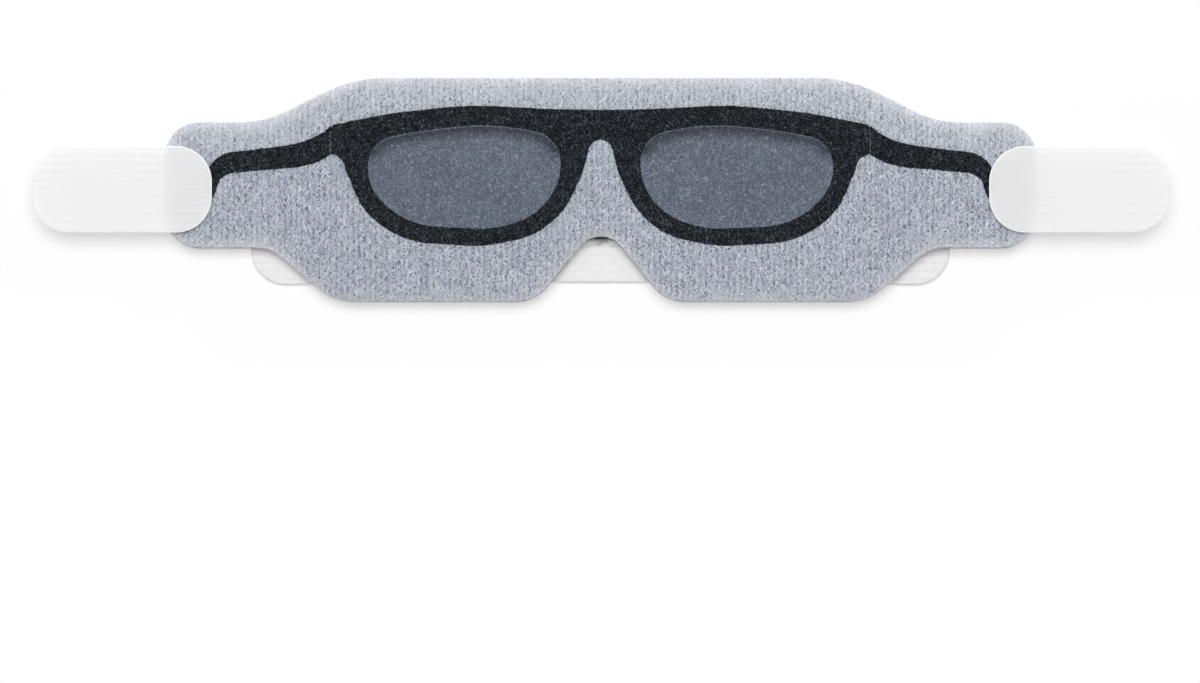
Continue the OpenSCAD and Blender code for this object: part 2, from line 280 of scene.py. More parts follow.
def rounded(corners, turn=math.radians(5)):
    """Closed outline through corners (x, y, radius). A round takes radius / tan(half its corner) of each
    side; where two rounds don't fit on a side, both radii shrink to the share that does."""
    c = np.array(corners, float)
    at, radius = c[:, :2], c[:, 2]
    back, on = np.roll(at, 1, 0) - at, np.roll(at, -1, 0) - at
    back_len, on_len = np.linalg.norm(back, axis=1), np.linalg.norm(on, axis=1)
    u, w = back / back_len[:, None], on / on_len[:, None]
    half = np.arccos(np.clip((u * w).sum(1), -1, 1)) / 2
    taken = radius / np.tan(half)
    tiny = 1e-9
    room, room_on = taken + np.roll(taken, 1) + tiny, taken + np.roll(taken, -1) + tiny
    share = np.minimum(back_len / room, on_len / room_on)
    radius = radius * np.where(share < 1, share * 0.99, 1)
    points = []
    for i in range(len(c)):
        if radius[i] == 0:
            points.append(at[i : i + 1])
            continue
        middle = (u[i] + w[i]) / np.linalg.norm(u[i] + w[i])
        centre = at[i] + middle * radius[i] / math.sin(half[i])
        first = at[i] + u[i] * radius[i] / math.tan(half[i]) - centre
        sweep = (math.pi - 2 * half[i]) * (-1 if u[i][0] * w[i][1] > u[i][1] * w[i][0] else 1)
        steps = max(2, math.ceil(abs(sweep) / turn) + 1)
        angle = math.atan2(first[1], first[0]) + np.linspace(0, sweep, steps)
        points.append(centre + radius[i] * np.column_stack((np.cos(angle), np.sin(angle))))
    return np.concatenate(points)


def box_outline(x, y, w, h, r):
    """Rectangle with round corners, clockwise."""
    return rounded([[x + i * w / 2, y + j * h / 2, r] for i, j in CORNER_SIGNS])


def closed(path):
    """Path that ends where it starts."""
    return np.vstack((path, path[:1]))


def walked(path):
    """Distance walked to each point of a path."""
    return np.concatenate(([0], np.cumsum(np.linalg.norm(np.diff(path, axis=0), axis=1))))


def resample(path, share):
    """Points of a path at the given shares of its length."""
    at = walked(path)
    return np.column_stack([np.interp(np.asarray(share) * at[-1], at, path[:, k]) for k in range(2)])


def nearest_index(path, point):
    """Number of the path's point that is nearest a given one."""
    return int(np.argmin(np.linalg.norm(path - point, axis=1)))


def dense_ends(count, pull=0.72):
    """Numbers from 0 to 1 that stand closer at both ends: s - pull sin(2 pi s) / 2 pi."""
    s = np.linspace(0, 1, count)
    return s - pull * np.sin(2 * np.pi * s) / (2 * np.pi)


def distance(points, path):
    """Distance of each point from the nearest side of an open path."""
    a, side = path[:-1], np.diff(path, axis=0)
    square = np.maximum((side**2).sum(1), 1e-12)
    found = []
    for part in np.array_split(points, max(1, len(points) // 6000)):
        off = part[:, None] - a
        along = np.clip((off * side).sum(2) / square, 0, 1)
        found.append(np.sqrt(((off - along[..., None] * side) ** 2).sum(2).min(1)))
    return np.concatenate(found)


def inside(points, path):
    """True for each point that a ray to the right leaves the closed path an odd number of times."""
    x, y = points[:, :1], points[:, 1:]
    (x1, y1), (x2, y2) = path.T, np.roll(path, -1, 0).T
    rise = np.where(y2 == y1, 1e-12, y2 - y1)
    crosses = ((y1 > y) != (y2 > y)) & (x < (x2 - x1) * (y - y1) / rise + x1)
    return crosses.sum(1) % 2 == 1


def grown(path, by):
    """Open path moved to its left-hand side by a distance, along the mean normal at each point."""
    keep = np.concatenate(([True], np.linalg.norm(np.diff(path, axis=0), axis=1) > 1e-6))
    path = path[keep]
    along = np.gradient(path, axis=0)
    along /= np.linalg.norm(along, axis=1)[:, None]
    moved = path + np.column_stack((-along[:, 1], along[:, 0])) * np.asarray(by).reshape(-1, 1)
    moved[[0, -1], 0] = path[[0, -1], 0]
    return moved


# Outlines on the right half, clockwise
HALF = rounded(BODY_CORNERS)
LENS = rounded(LENS_CORNERS)
FRONT = rounded(FRONT_CORNERS)
TEMPLE = rounded(TEMPLE_CORNERS)
TEMPLE[:, 0] = np.maximum(TEMPLE[:, 0], HINGE_X)
TAB = box_outline(TAB_X + TAB_LEN / 2, 0, TAB_LEN, TAB_W, TAB_R)


def mirrored(points):
    """Points of the left half: x with its sign turned."""
    return points * ([-1, 1] if points.shape[-1] == 2 else [-1, 1, 1])


def on_right(points):
    """Points with those of the left half mirrored onto the right one."""
    return np.column_stack((np.abs(points[:, 0]), points[:, 1]))


def on_side(mesh, side):
    """Points and faces of a mesh of the right half, mirrored if they are for the left one."""
    points, faces = mesh
    if side == "right":
        return points, faces
    turned = [f[:, ::-1] for f in faces] if isinstance(faces, list) else faces[:, ::-1]
    return mirrored(points), turned


def body_outline():
    """Closed outline of the whole shield."""
    return np.concatenate((HALF, mirrored(HALF)[::-1]))


def wander(x, y):
    """How far the knit's ribs stray, as an angle of their wave: 0.7 sin(y / 2.9 + x / 7) +
    0.5 sin(y / 1.3 - x / 4.1)."""
    return 0.7 * np.sin(y / 2.9 + x / 7) + 0.5 * np.sin(y / 1.3 - x / 4.1)


def wales(x, y, pitch):
    """Height from 0 to 1 of the knit's upright ribs: (1 + cos(2 pi x / pitch + wander)) / 2."""
    return (1 + np.cos(2 * np.pi * x / pitch + wander(x, y))) / 2


def fallen(d):
    """How far a surface has fallen towards its edge: (1 - d)^2, with d held from 0 to 1."""
    return (1 - np.clip(d, 0, 1)) ** 2


def face_height(xy, s):
    """Height of the front cloth. It falls to the cut edge as edge + (top - edge)(1 - (1 - d)^2), with d the
    share of the edge's width. It carries the ribs of the knit and a slow swell of under 0.1 mm."""
    x, y = xy[:, 0], xy[:, 1]
    d = np.clip(from_edge(xy) / s["edge_round"], 0, 1)
    swell = 0.05 * np.sin(x / 8.3 + 0.6) * np.sin(y / 6.1 + 1.1) + 0.04 * np.sin(x / 4.7 + y / 5.3)
    rib = s["wale_depth"] * (wales(x, y, s["wale_pitch"]) - 0.75)
    return s["edge_top"] + (FACE_Z - s["edge_top"]) * (1 - fallen(d)) + (rib + swell) * d


def from_edge(xy):
    """Distance of points from the shield's outline."""
    return distance(on_right(xy), HALF)


def smooth(t):
    """Smooth step from 0 to 1: t^2 (3 - 2 t)."""
    t = np.clip(t, 0, 1)
    return t * t * (3 - 2 * t)


def painted_edge_highlight(xy):
    """Painted highlight of the front cloth at the distance d from its cut edge: a lighter colour along the
    brow and its rounded edge, which catch the light from above, and along the lower edges, whose slopes turn
    from the light. It is 0.45 exp(-d / 1.5) + 0.55 exp(-d / 8.5) along the brow, 0.75 exp(-d / 0.9) + 0.25
    exp(-d / 2) along the cheeks, and up to 0.6 more of that along the wings, which it reaches from x = 62 to
    x = 72."""
    up, _, low = chains(HALF)
    x = np.abs(xy[:, 0])
    top, bottom = np.interp(x, *up.T), np.interp(x, *low.T)
    brow = smooth(((xy[:, 1] - bottom) / (top - bottom) - 0.5) / 0.35)
    d = from_edge(xy)
    upper = 0.45 * np.exp(-d / 1.5) + 0.55 * np.exp(-d / 8.5)
    lower = (0.75 * np.exp(-d / 0.9) + 0.25 * np.exp(-d / 2)) * (1 + 0.6 * smooth((x - 62) / 10))
    return np.clip(brow * upper + (1 - brow) * lower, 0, 1)


def foam_height(xy, s):
    """Height of the foam's top. It is pinched to 0.55 of its thickness at the cut edge, and is full 1.2
    times as far in as the cloth."""
    full = 1 - fallen(from_edge(xy) / s["edge_round"] / 1.2)
    return FOAM_Z + (FABRIC_Z - FOAM_Z) * (0.55 + 0.45 * full)


def grid_quads(nu, nv):
    """Faces of a grid of nu by nv points, numbered along v first, facing up."""
    i = np.arange((nu - 1) * (nv - 1))
    a = i // (nv - 1) * nv + i % (nv - 1)
    return np.column_stack((a, a + nv, a + nv + 1, a + 1))


def as_mesh(grid):
    """Points and faces of a grid."""
    return grid.reshape(-1, 2), grid_quads(*grid.shape[:2])


def middle_patch(half, step, rows):
    """Grid between the two seams: each column stands at one x, from the lower outline to the upper one."""
    count = 2 * int(SEAM_X / step) + 1
    x = np.linspace(-SEAM_X, SEAM_X, count)[:, None]
    up, _, low = chains(half)
    y_up, y_low = np.interp(np.abs(x), *up.T), np.interp(np.abs(x), *low.T)
    v = dense_ends(rows)[None, :]
    y = y_low + v * (y_up - y_low)
    return np.stack((np.broadcast_to(x, y.shape), y), -1)


def chains(half):
    """Upper, end and lower part of the right half's outline, parted where the wing's corners face out at
    45 degrees."""
    far = half[:, 0] > BEND_X
    first = int(np.argmax(np.where(far, half[:, 0] + half[:, 1], -np.inf)))
    last = int(np.argmax(np.where(far, half[:, 0] - half[:, 1], -np.inf)))
    return half[: first + 1], half[first : last + 1], half[last:][::-1]


def wing_patch(half, step, rows, bow=8):
    """Grid from the right seam to the wing's end: columns run from the lower outline to the upper one, and
    those near the end bow out to it by u^8 times the end's distance from the straight column."""
    up, end, low = chains(half)
    u = np.linspace(0, 1, int((up[-1, 0] - SEAM_X) / step))[:, None]
    v = dense_ends(rows)[None, :]
    x_up, x_low = (SEAM_X + u * (chain[-1, 0] - SEAM_X) for chain in (up, low))
    y_up, y_low = np.interp(x_up, *up.T), np.interp(x_low, *low.T)
    last = low[-1] + v.T * (up[-1] - low[-1])
    out = np.interp(last[:, 1], end[::-1, 1], end[::-1, 0]) - last[:, 0]
    x = x_low + v * (x_up - x_low) + u**bow * out[None, :]
    return np.stack((x, y_low + v * (y_up - y_low)), -1)


def pad_patches(half, step, rows):
    """Points and faces of the three grids that a layer is made of, by name."""
    right = as_mesh(wing_patch(half, step, rows))
    return {"middle": as_mesh(middle_patch(half, step, rows)), "right": right, "left": on_side(right, "left")}


def coons(low, right, up, left):
    """Grid that fills four joined sides: (1 - v) low + v up + (1 - u) left + u right, less the flat sheet
    (1 - u)(1 - v) A + u (1 - v) B + u v C + (1 - u) v D through the corners."""
    nu, nv = len(low), len(left)
    u, v = walked(low), walked(left)
    u, v = (u / u[-1]).reshape(nu, 1, 1), (v / v[-1]).reshape(1, nv, 1)
    sides = (1 - v) * low[:, None] + v * up[:, None] + (1 - u) * left[None] + u * right[None]
    flat = (1 - u) * (1 - v) * low[0] + u * (1 - v) * low[-1] + u * v * up[-1] + (1 - u) * v * up[0]
    return sides - flat


def filled(path, nu, nv):
    """Points and faces of a grid over a closed clockwise outline, whose four sides part where it faces out
    at 45 degrees."""
    at = [int(np.argmax(path @ np.array(sign, float))) for sign in CORNER_SIGNS]
    path = np.roll(path, -at[0], 0)
    at = [(i - at[0]) % len(path) for i in at] + [len(path)]
    up, right, low, left = (closed(path)[at[i] : at[i + 1] + 1] for i in range(4))
    u, v = dense_ends(nu), dense_ends(nv)
    sides = resample(low[::-1], u), resample(right[::-1], v), resample(up, u), resample(left, v)
    return as_mesh(coons(*sides))


def welded(parts):
    """Several flat meshes (points, faces) as one, with points in the same place made one."""
    points = np.concatenate([p for p, _ in parts])
    starts = np.cumsum([0] + [len(p) for p, _ in parts])
    quads = np.concatenate([q + start for (_, q), start in zip(parts, starts)])
    _, first, number = np.unique(np.round(points, 3), axis=0, return_index=True, return_inverse=True)
    return points[first], number.reshape(-1)[quads]


def shell(xy, quads, top, low):
    """Closed sheet over a flat mesh: its faces at height top, the same faces turned over at height low,
    and a wall along each edge that only one face has."""
    count = len(xy)
    points = np.vstack([np.column_stack((xy, np.broadcast_to(height, count))) for height in (top, low)])
    edges = np.stack((quads, np.roll(quads, -1, 1)), -1).reshape(-1, 2).astype(np.int64)
    keys = edges.min(1) * count + edges.max(1)
    _, first, uses = np.unique(keys, return_index=True, return_counts=True)
    a, b = edges[first[uses == 1]].T
    walls = np.column_stack((b, a, a + count, b + count))
    return points, np.concatenate((quads, quads[:, ::-1] + count, walls))


def print_at(points):
    """The print under each point: BARE, ON_FRAME, ON_LENS or ON_TEMPLE."""
    half = on_right(points)
    found = np.full(len(points), BARE)
    for number, path in ((ON_FRAME, FRONT), (ON_LENS, LENS), (ON_TEMPLE, TEMPLE)):
        found[inside(half, path)] = number
    return found


def frame_mesh():
    """Flat mesh of the whole frame: a ring round each lens and a bridge, joined along two slanting cuts that
    run from the arch's corner up to the brow at x = 3."""
    cut_low, cut_x = nearest_index(FRONT, ARCH_CORNER), 3.0
    low = FRONT[cut_low]
    brow = FRONT[: nearest_index(FRONT, [HINGE_X, HINGE_Y]) + 1]
    up = np.array([cut_x, np.interp(cut_x, *brow.T)])
    start = nearest_index(FRONT, FRONT[FRONT[:, 0] > cut_x + 0.02][0])
    cut = low + np.linspace(0, 1, BRIDGE_ACROSS)[:, None] * (up - low)
    chain = resample(np.vstack(([up], FRONT[start : cut_low + 1])), np.linspace(0, 1, RIM_ROUND))
    rim = ring_between(LENS, np.vstack((chain, cut[1:-1])), RIM_ACROSS)
    arch = np.vstack(([low], FRONT[cut_low + 1 :]))[::-1]
    top = np.vstack((FRONT[:1], brow[(brow[:, 0] > 0) & (brow[:, 0] < cut_x)], [up]))
    shares = np.linspace(0, 1, BRIDGE_ALONG)
    v = np.linspace(0, 1, BRIDGE_ACROSS)[None, :, None]
    bridge = as_mesh(resample(arch, shares)[:, None] * (1 - v) + resample(top, shares)[:, None] * v)
    return welded([on_side(mesh, side) for side in ("right", "left") for mesh in (rim, bridge)])


def ring_between(inner, outer, across):
    """Mesh between a closed inner outline and the given points of an outer one, both clockwise: straight
    spokes that start at the inner point nearest their outer point, mixed with a tenth of an even share."""
    count = len(outer)
    shares = np.linspace(0, 1, SPOKE_STARTS, endpoint=False)
    fine = resample(closed(inner), shares)
    near = shares[((outer[:, None] - fine) ** 2).sum(2).argmin(1)]
    turns = np.maximum.accumulate(np.unwrap(near, period=1))
    at = walked(closed(outer))
    even = turns[0] + at[:-1] / at[-1]
    start = resample(closed(inner), (0.9 * turns + 0.1 * even) % 1)
    r = np.linspace(0, 1, across)[None, :, None]
    grid = start[:, None] * (1 - r) + outer[:, None] * r
    return grid.reshape(-1, 2), grid_quads(count + 1, across) % (count * across)


def temple_mesh():
    """Flat mesh of the right temple: a grid between its upper and lower side."""
    tip_out, tip_in = nearest_index(TEMPLE, TEMPLE_TIP_OUT), nearest_index(TEMPLE, TEMPLE_TIP_IN)
    u, v = (np.linspace(0, 1, count) for count in TEMPLE_GRID)
    up, low = resample(TEMPLE[: tip_out + 1], u), resample(TEMPLE[tip_in:][::-1], u)
    right, left = (resample(np.vstack((low[end], up[end])), v) for end in (-1, 0))
    return as_mesh(coons(low, right, up, left))


def below_lens_edge(xy):
    """Distance below the lens's upper side, in millimetres. The side runs from the outline's point that is
    furthest up to the left to the one that is furthest up to the right."""
    left = int(np.argmin(LENS[:, 0] - 0.6 * LENS[:, 1]))
    right = int(np.argmax(LENS[:, 0] + 0.8 * LENS[:, 1]))
    path = np.roll(LENS, -left, 0)
    return distance(on_right(xy), path[: (right - left) % len(LENS) + 1])


def linked(name, data):
    """New object of the scene with the given data."""
    made = bpy.data.objects.new(name, data)
    bpy.context.collection.objects.link(made)
    return made


def add_piece(name, points, faces, finish, slot, sharp, **values):
    """New object from points in millimetres and one or more arrays of faces, with values for its points. It
    keeps its points at rest in the attribute rest_place, so that its pattern bends with it."""
    faces = [np.asarray(f) for f in (faces if isinstance(faces, list) else [faces])]
    corners = np.concatenate([f.ravel() for f in faces])
    totals = np.concatenate([np.full(len(f), f.shape[1]) for f in faces])
    mesh = bpy.data.meshes.new(name)
    mesh.vertices.add(len(points))
    mesh.vertices.foreach_set("co", (points * MM).astype(np.float32).ravel())
    mesh.loops.add(len(corners))
    mesh.loops.foreach_set("vertex_index", corners.astype(np.int32))
    mesh.polygons.add(len(totals))
    mesh.polygons.foreach_set("loop_start", np.concatenate(([0], np.cumsum(totals)[:-1])).astype(np.int32))
    mesh.polygons.foreach_set("use_smooth", np.ones(len(totals), bool))
    mesh.update(calc_edges=True)
    if mesh.validate():
        raise RuntimeError(f"{name} has a face that isn't sound")
    mesh.set_sharp_from_angle(angle=math.radians(sharp))
    rest = mesh.attributes.new("rest_place", "FLOAT_VECTOR", "POINT")
    rest.data.foreach_set("vector", (points * MM).astype(np.float32).ravel())
    for key, value in values.items():
        mesh.attributes.new(key, "FLOAT", "POINT").data.foreach_set("value", np.asarray(value, np.float32))
    mesh.materials.append(finish_named(finish))
    piece = linked(name, mesh)
    return piece


def follow(piece, part):
    """Bakes the transform of a piece of a layer into its points, the same for every part."""
    if part == "middle":
        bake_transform(piece)
        return
    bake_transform(piece)


def stand_for(layer, part):
    """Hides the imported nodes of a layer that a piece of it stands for."""
    nodes = [f"{layer}_left", f"{layer}_right"] if part == "middle" else [f"{layer}_{part}_wing"]
    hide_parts(*nodes)


def printed(name, xy, quads, finish, slot, s, **values):
    """New piece of inked knit that stands a little out of the cloth and reaches down into it."""
    top = face_height(xy, s) + s["print_lift"]
    points, faces = shell(xy, quads, top, top - PRINT_DEPTH)
    return add_piece(name, points, faces, finish, slot, PRINT_SHARP, **values)


# Threads and hooks


def tube_points(path, along, across, thick, sides, turn=0):
    """Rings of points round a path: path + thick (across cos a + (along x across) sin a)."""
    angle = 2 * np.pi * (np.arange(sides) + turn) / sides
    over = np.cross(along, across)
    ring = across[..., None, :] * np.cos(angle)[:, None] + over[..., None, :] * np.sin(angle)[:, None]
    return path[..., None, :] + ring * thick[..., None, None]


def tube_faces(count, rings, sides):
    """Walls and end caps of a number of alike tubes, whose points are numbered round each ring in turn."""
    k, j = np.divmod(np.arange((rings - 1) * sides), sides)
    here, there, beside = k * sides, (k + 1) * sides, (j + 1) % sides
    walls = np.column_stack((there + j, there + beside, here + beside, here + j))
    cap = np.arange(sides)
    caps = np.stack((cap, (rings - 1) * sides + cap[::-1]))
    start = (np.arange(count) * rings * sides)[:, None, None]
    return [(start + walls).reshape(-1, 4), (start + caps).reshape(-1, sides)]


def threads(centre, heading, length, curl, radius, rise, base):
    """Small arched threads, as points and faces. With s from 0 to 1 along a thread, it heads to
    heading + curl (s - 1/2), so its plan is an arc of radius length / curl, and its height is
    base + rise sin(pi s). curl is 0.2 or more, and a thread thins to 0.6 of its radius at its ends. base is
    a height for each thread, or a function of points."""
    shape = (len(centre), THREAD_RINGS)
    s = np.linspace(0, 1, THREAD_RINGS)[None, :]
    curl = np.where(np.abs(curl) < 0.2, 0.2, curl)[:, None]
    turn = heading[:, None] + curl * (s - 0.5)
    reach = length[:, None] / curl
    x = centre[:, :1] + reach * (np.sin(turn) - np.sin(heading[:, None]))
    y = centre[:, 1:2] - reach * (np.cos(turn) - np.cos(heading[:, None]))
    if callable(base):
        ground = base(np.column_stack((x.ravel(), y.ravel()))).reshape(shape)
    else:
        ground = np.broadcast_to(base[:, None], shape)
    z = ground + rise[:, None] * np.sin(np.pi * s)
    slope = rise[:, None] * np.pi * np.cos(np.pi * s) / length[:, None]
    across = np.stack((-np.sin(turn), np.cos(turn), np.zeros_like(turn)), -1)
    along = np.stack((np.cos(turn), np.sin(turn), slope), -1)
    along /= np.linalg.norm(along, axis=-1, keepdims=True)
    thick = radius[:, None] * (0.6 + 0.4 * np.sin(np.pi * s))
    points = tube_points(np.stack((x, y, z), -1), along, across, thick, THREAD_SIDES)
    return points.reshape(-1, 3), tube_faces(len(centre), THREAD_RINGS, THREAD_SIDES)


def fibres(rng, centre, heading, *limits):
    """Threads that curl to either side, with their length, curl, radius, rise and base drawn between two
    limits each."""
    n = len(centre)
    length = rng.uniform(*limits[0], n)
    curl = rng.choice([-1, 1], n) * rng.uniform(*limits[1], n)
    return threads(centre, heading, length, curl, *(rng.uniform(*limit, n) for limit in limits[2:]))


def thread_piece(name, made, finish, slot, **values):
    """New piece of threads, whose attributes are given with one value for each thread."""
    values = {key: np.repeat(value, THREAD_RINGS * THREAD_SIDES) for key, value in values.items()}
    return add_piece(name, *made, finish, slot, THREAD_SHARP, **values)


def pile_roots(s, look, rng):
    """Places of the pile's loops, strewn about the ribs of the knit: x = pitch (rib + a random share -
    wander / 2 pi). There are fewer near the cut edge, the more so where the painted edge highlight is strong."""
    pitch, along = s["wale_pitch"], look.pile_per_wale
    count = int(TIP_X / pitch)
    rib, row = np.meshgrid(np.arange(-count, count + 1), np.arange(along), indexing="ij")
    x = (rib + rng.normal(0, look.loop_spread, rib.shape)) * pitch
    y = ((row + rng.random(row.shape)) / along * 2 - 1) * BROW_Y
    x -= pitch * wander(x, y) / (2 * np.pi)
    roots = np.column_stack((x.ravel(), y.ravel()))
    roots = roots[inside(roots, body_outline())]
    return roots[from_edge(roots) > 0.2 + 0.7 * rng.random(len(roots)) * smooth(2 * painted_edge_highlight(roots) - 0.8)]


def hinge_mark(side, s, rng):
    """Dotted line of light threads where the frame's front meets its temple."""
    n = HINGE_FIBRES
    y = np.linspace(HINGE_Y - 6.3, HINGE_Y - 1.5, n) + rng.normal(0, 0.08, n)
    x = HINGE_X + 0.05 + rng.normal(0, 0.04, n)
    made = threads(
        np.column_stack((x if side == "right" else -x, y)),
        np.full(n, np.pi / 2),
        rng.uniform(0.16, 0.36, n),
        np.full(n, 0.6),
        np.full(n, 0.05),
        np.full(n, 0.05),
        lambda p: face_height(p, s) + s["print_lift"] + 0.12,
    )
    piece = thread_piece(f"hinge_mark_{side}", made, "Loop threads", "loop_fabric", tone=np.full(n, 0.55))
    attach(piece, f"{side}_half")


def edge_fuzz(s, rng):
    """Short fibres rooted 0.12 mm inside the cut edge, which stand out of it within some 40 degrees."""
    at = resample(grown(HALF, np.full(len(HALF), -0.12)), np.linspace(0.001, 0.999, EDGE_FIBRES))
    along = np.gradient(at, axis=0)
    out = np.arctan2(along[:, 0], -along[:, 1])
    far = at[:, 0] > SEAM_X
    near, facing = at[~far], out[~far]
    places = {
        "left": (mirrored(at[far]), np.pi - out[far]),
        "middle": (np.vstack((near, mirrored(near))), np.concatenate((facing, np.pi - facing))),
        "right": (at[far], out[far]),
    }
    base = s["edge_top"] - 0.5, s["edge_top"] + 0.1
    for part, (centre, heading) in places.items():
        n = len(centre)
        heading = heading + rng.normal(0, 0.7, n)
        made = fibres(rng, centre, heading, (0.4, 1.15), (0.6, 3.0), (0.035, 0.065), (-0.1, 0.15), base)
        tone = np.clip(rng.normal(0.95, 0.15, n), 0, 1)
        follow(thread_piece(f"edge_fuzz_{part}", made, "Loop threads", "loop_fabric", tone=tone), part)


def film_fuzz(rng):
    """Dark fibres of the film's cut edge at the top of the notch, strewn up to 1.9 mm down from it: partly
    the film's frayed edge, and partly painted shade under the notch's top.
    """
    n = FILM_FIBRES
    x = rng.normal(-0.2, 1.6, n)
    top = np.interp(np.abs(x), *chains(HALF)[2].T)
    centre = np.column_stack((x, top - 1.9 * rng.random(n)))
    heading = rng.normal(0, 0.9, n)
    made = fibres(rng, centre, heading, (0.5, 1.5), (0.6, 2.6), (0.009, 0.018), (-0.1, 0.2), (1.2, 1.7))
    follow(thread_piece("film_fuzz", made, "Film fuzz", "blackout_film", tone=rng.random(n)), "middle")


def hook_places(s):
    """Lattice points that lie HOOK_INSET or more inside the tab's outline."""
    pitch, row_pitch = s["hook_pitch"], s["row_pitch"]
    x = np.arange(math.ceil(TAB_X / pitch), math.floor((TAB_X + TAB_LEN) / pitch) + 1) * pitch
    rows = int(TAB_W / 2 / row_pitch)
    y = np.arange(-rows, rows + 1) * row_pitch
    places = np.stack(np.meshgrid(x, y, indexing="ij"), -1).reshape(-1, 2)
    places = places[inside(places, TAB)]
    return places[distance(places, closed(TAB)) > HOOK_INSET]


def hook_mesh(roots):
    """J-shaped hooks under the tape: tubes that go down and curl to one side, by turns to the right and to
    the left."""
    path, count = np.array(HOOK_PATH), len(roots)
    along = np.gradient(path, axis=0)
    along /= np.linalg.norm(along, axis=1)[:, None]
    across = np.tile([0.0, 1.0, 0.0], (len(path), 1))
    hook = tube_points(path, along, across, np.array(HOOK_THICK), HOOK_SIDES, turn=0.5)
    way = np.where(np.arange(count) % 2, -1.0, 1.0)
    points = hook.reshape(1, -1, 3) * np.stack((way, way, np.ones(count)), -1)[:, None]
    points = points + np.column_stack((roots, np.full(count, WEB_Z + 0.02)))[:, None]
    return points.reshape(-1, 3), tube_faces(count, len(path), HOOK_SIDES)


# Nodes of the materials


def add_node(tree, kind, inputs=None, **settings):
    """Adds a shader node. A socket given as an input is linked, and anything else is set."""
    made = tree.nodes.new("ShaderNode" + kind)
    for key, value in settings.items():
        setattr(made, key, value)
    for key, value in (inputs or {}).items():
        if isinstance(value, bpy.types.NodeSocket):
            tree.links.new(value, made.inputs[key])
        else:
            made.inputs[key].default_value = value
    return made


def calc(tree, operation, *values, clamp=False):
    """Adds a Math node and returns its output."""
    return add_node(tree, "Math", dict(enumerate(values)), operation=operation, use_clamp=clamp).outputs[0]


def plus(tree, a, b):
    """Sum of two values, as an output."""
    return calc(tree, "ADD", a, b)


def less(tree, a, b):
    """First value less the second, as an output."""
    return calc(tree, "SUBTRACT", a, b)


def times(tree, a, b, clamp=False):
    """Product of two values, as an output."""
    return calc(tree, "MULTIPLY", a, b, clamp=clamp)


def ramp(tree, value, low, high, to_low=0.0, to_high=1.0):
    """Smooth step of a value between two edges, as an output."""
    inputs = {"Value": value, "From Min": low, "From Max": high, "To Min": to_low, "To Max": to_high}
    return add_node(tree, "MapRange", inputs, interpolation_type="SMOOTHSTEP").outputs[0]


def mixed(tree, share, a, b, blend="MIX"):
    """Mix of two colours, as an output."""
    made = add_node(tree, "Mix", {0: share}, data_type="RGBA", blend_type=blend)
    for socket, value in ((made.inputs[6], a), (made.inputs[7], b)):
        if isinstance(value, bpy.types.NodeSocket):
            tree.links.new(value, socket)
        else:
            socket.default_value = (*value, 1)
    return made.outputs[2]


def scaled(tree, vector, share):
    """Vector or colour multiplied by a value, as an output."""
    return add_node(tree, "VectorMath", {0: vector, "Scale": share}, operation="SCALE").outputs[0]


def toned(colour, share):
    """Plain colour made darker or lighter by a share, up to white."""
    return tuple(min(1.0, c * share) for c in colour)


def noise(tree, place, scale, detail, warp=0.0):
    """Value of a noise, as an output."""
    inputs = {"Vector": place, "Scale": scale, "Detail": detail, "Distortion": warp}
    return add_node(tree, "TexNoise", inputs).outputs[0]


def wave(tree, phase):
    """Wave from 0 to 1, as an output: (1 + cos(2 pi phase)) / 2."""
    return calc(tree, "MULTIPLY_ADD", calc(tree, "COSINE", times(tree, phase, 2 * math.pi)), 0.5, 0.5)


def either(tree, share, a, b):
    """Mix of two shaders, as an output."""
    return add_node(tree, "MixShader", {0: share, 1: a, 2: b}).outputs[0]


def effect(name, values, outputs):
    """New shader node group with a Vector, value inputs with their defaults, and value outputs."""
    tree = bpy.data.node_groups.new(name, "ShaderNodeTree")
    tree.interface.new_socket("Vector", in_out="INPUT", socket_type="NodeSocketVector")
    for label, default in values.items():
        socket = tree.interface.new_socket(label, in_out="INPUT", socket_type="NodeSocketFloat")
        socket.default_value = default
    for label in outputs:
        tree.interface.new_socket(label, in_out="OUTPUT", socket_type="NodeSocketFloat")
    return tree, tree.nodes.new("NodeGroupInput").outputs, tree.nodes.new("NodeGroupOutput").inputs


def knit_effect():
    """Upright ribs with slanting stitches. phase = x / pitch + wander; rib = (1 + cos(2 pi phase)) / 2;
    stitch = (1 + cos(2 pi (y / course + |frac(phase) - 1/2|))) / 2."""
    tree, put, out = effect("Knit Ribs", {"Pitch": 1.25, "Course": 0.95, "Wander": 0.5}, ["Height", "Groove"])
    place = scaled(tree, put["Vector"], 1 / MM)
    split = add_node(tree, "SeparateXYZ", {0: place}).outputs
    stray = times(tree, less(tree, noise(tree, place, 0.35, 2.0), 0.5), put["Wander"])
    phase = plus(tree, calc(tree, "DIVIDE", split["X"], put["Pitch"]), stray)
    rib = wave(tree, phase)
    lean = calc(tree, "ABSOLUTE", less(tree, calc(tree, "FRACT", phase), 0.5))
    stitch = wave(tree, plus(tree, calc(tree, "DIVIDE", split["Y"], put["Course"]), lean))
    tree.links.new(plus(tree, times(tree, rib, 0.7), times(tree, stitch, 0.3)), out["Height"])
    tree.links.new(ramp(tree, rib, 0.45, 0.0), out["Groove"])
    return tree


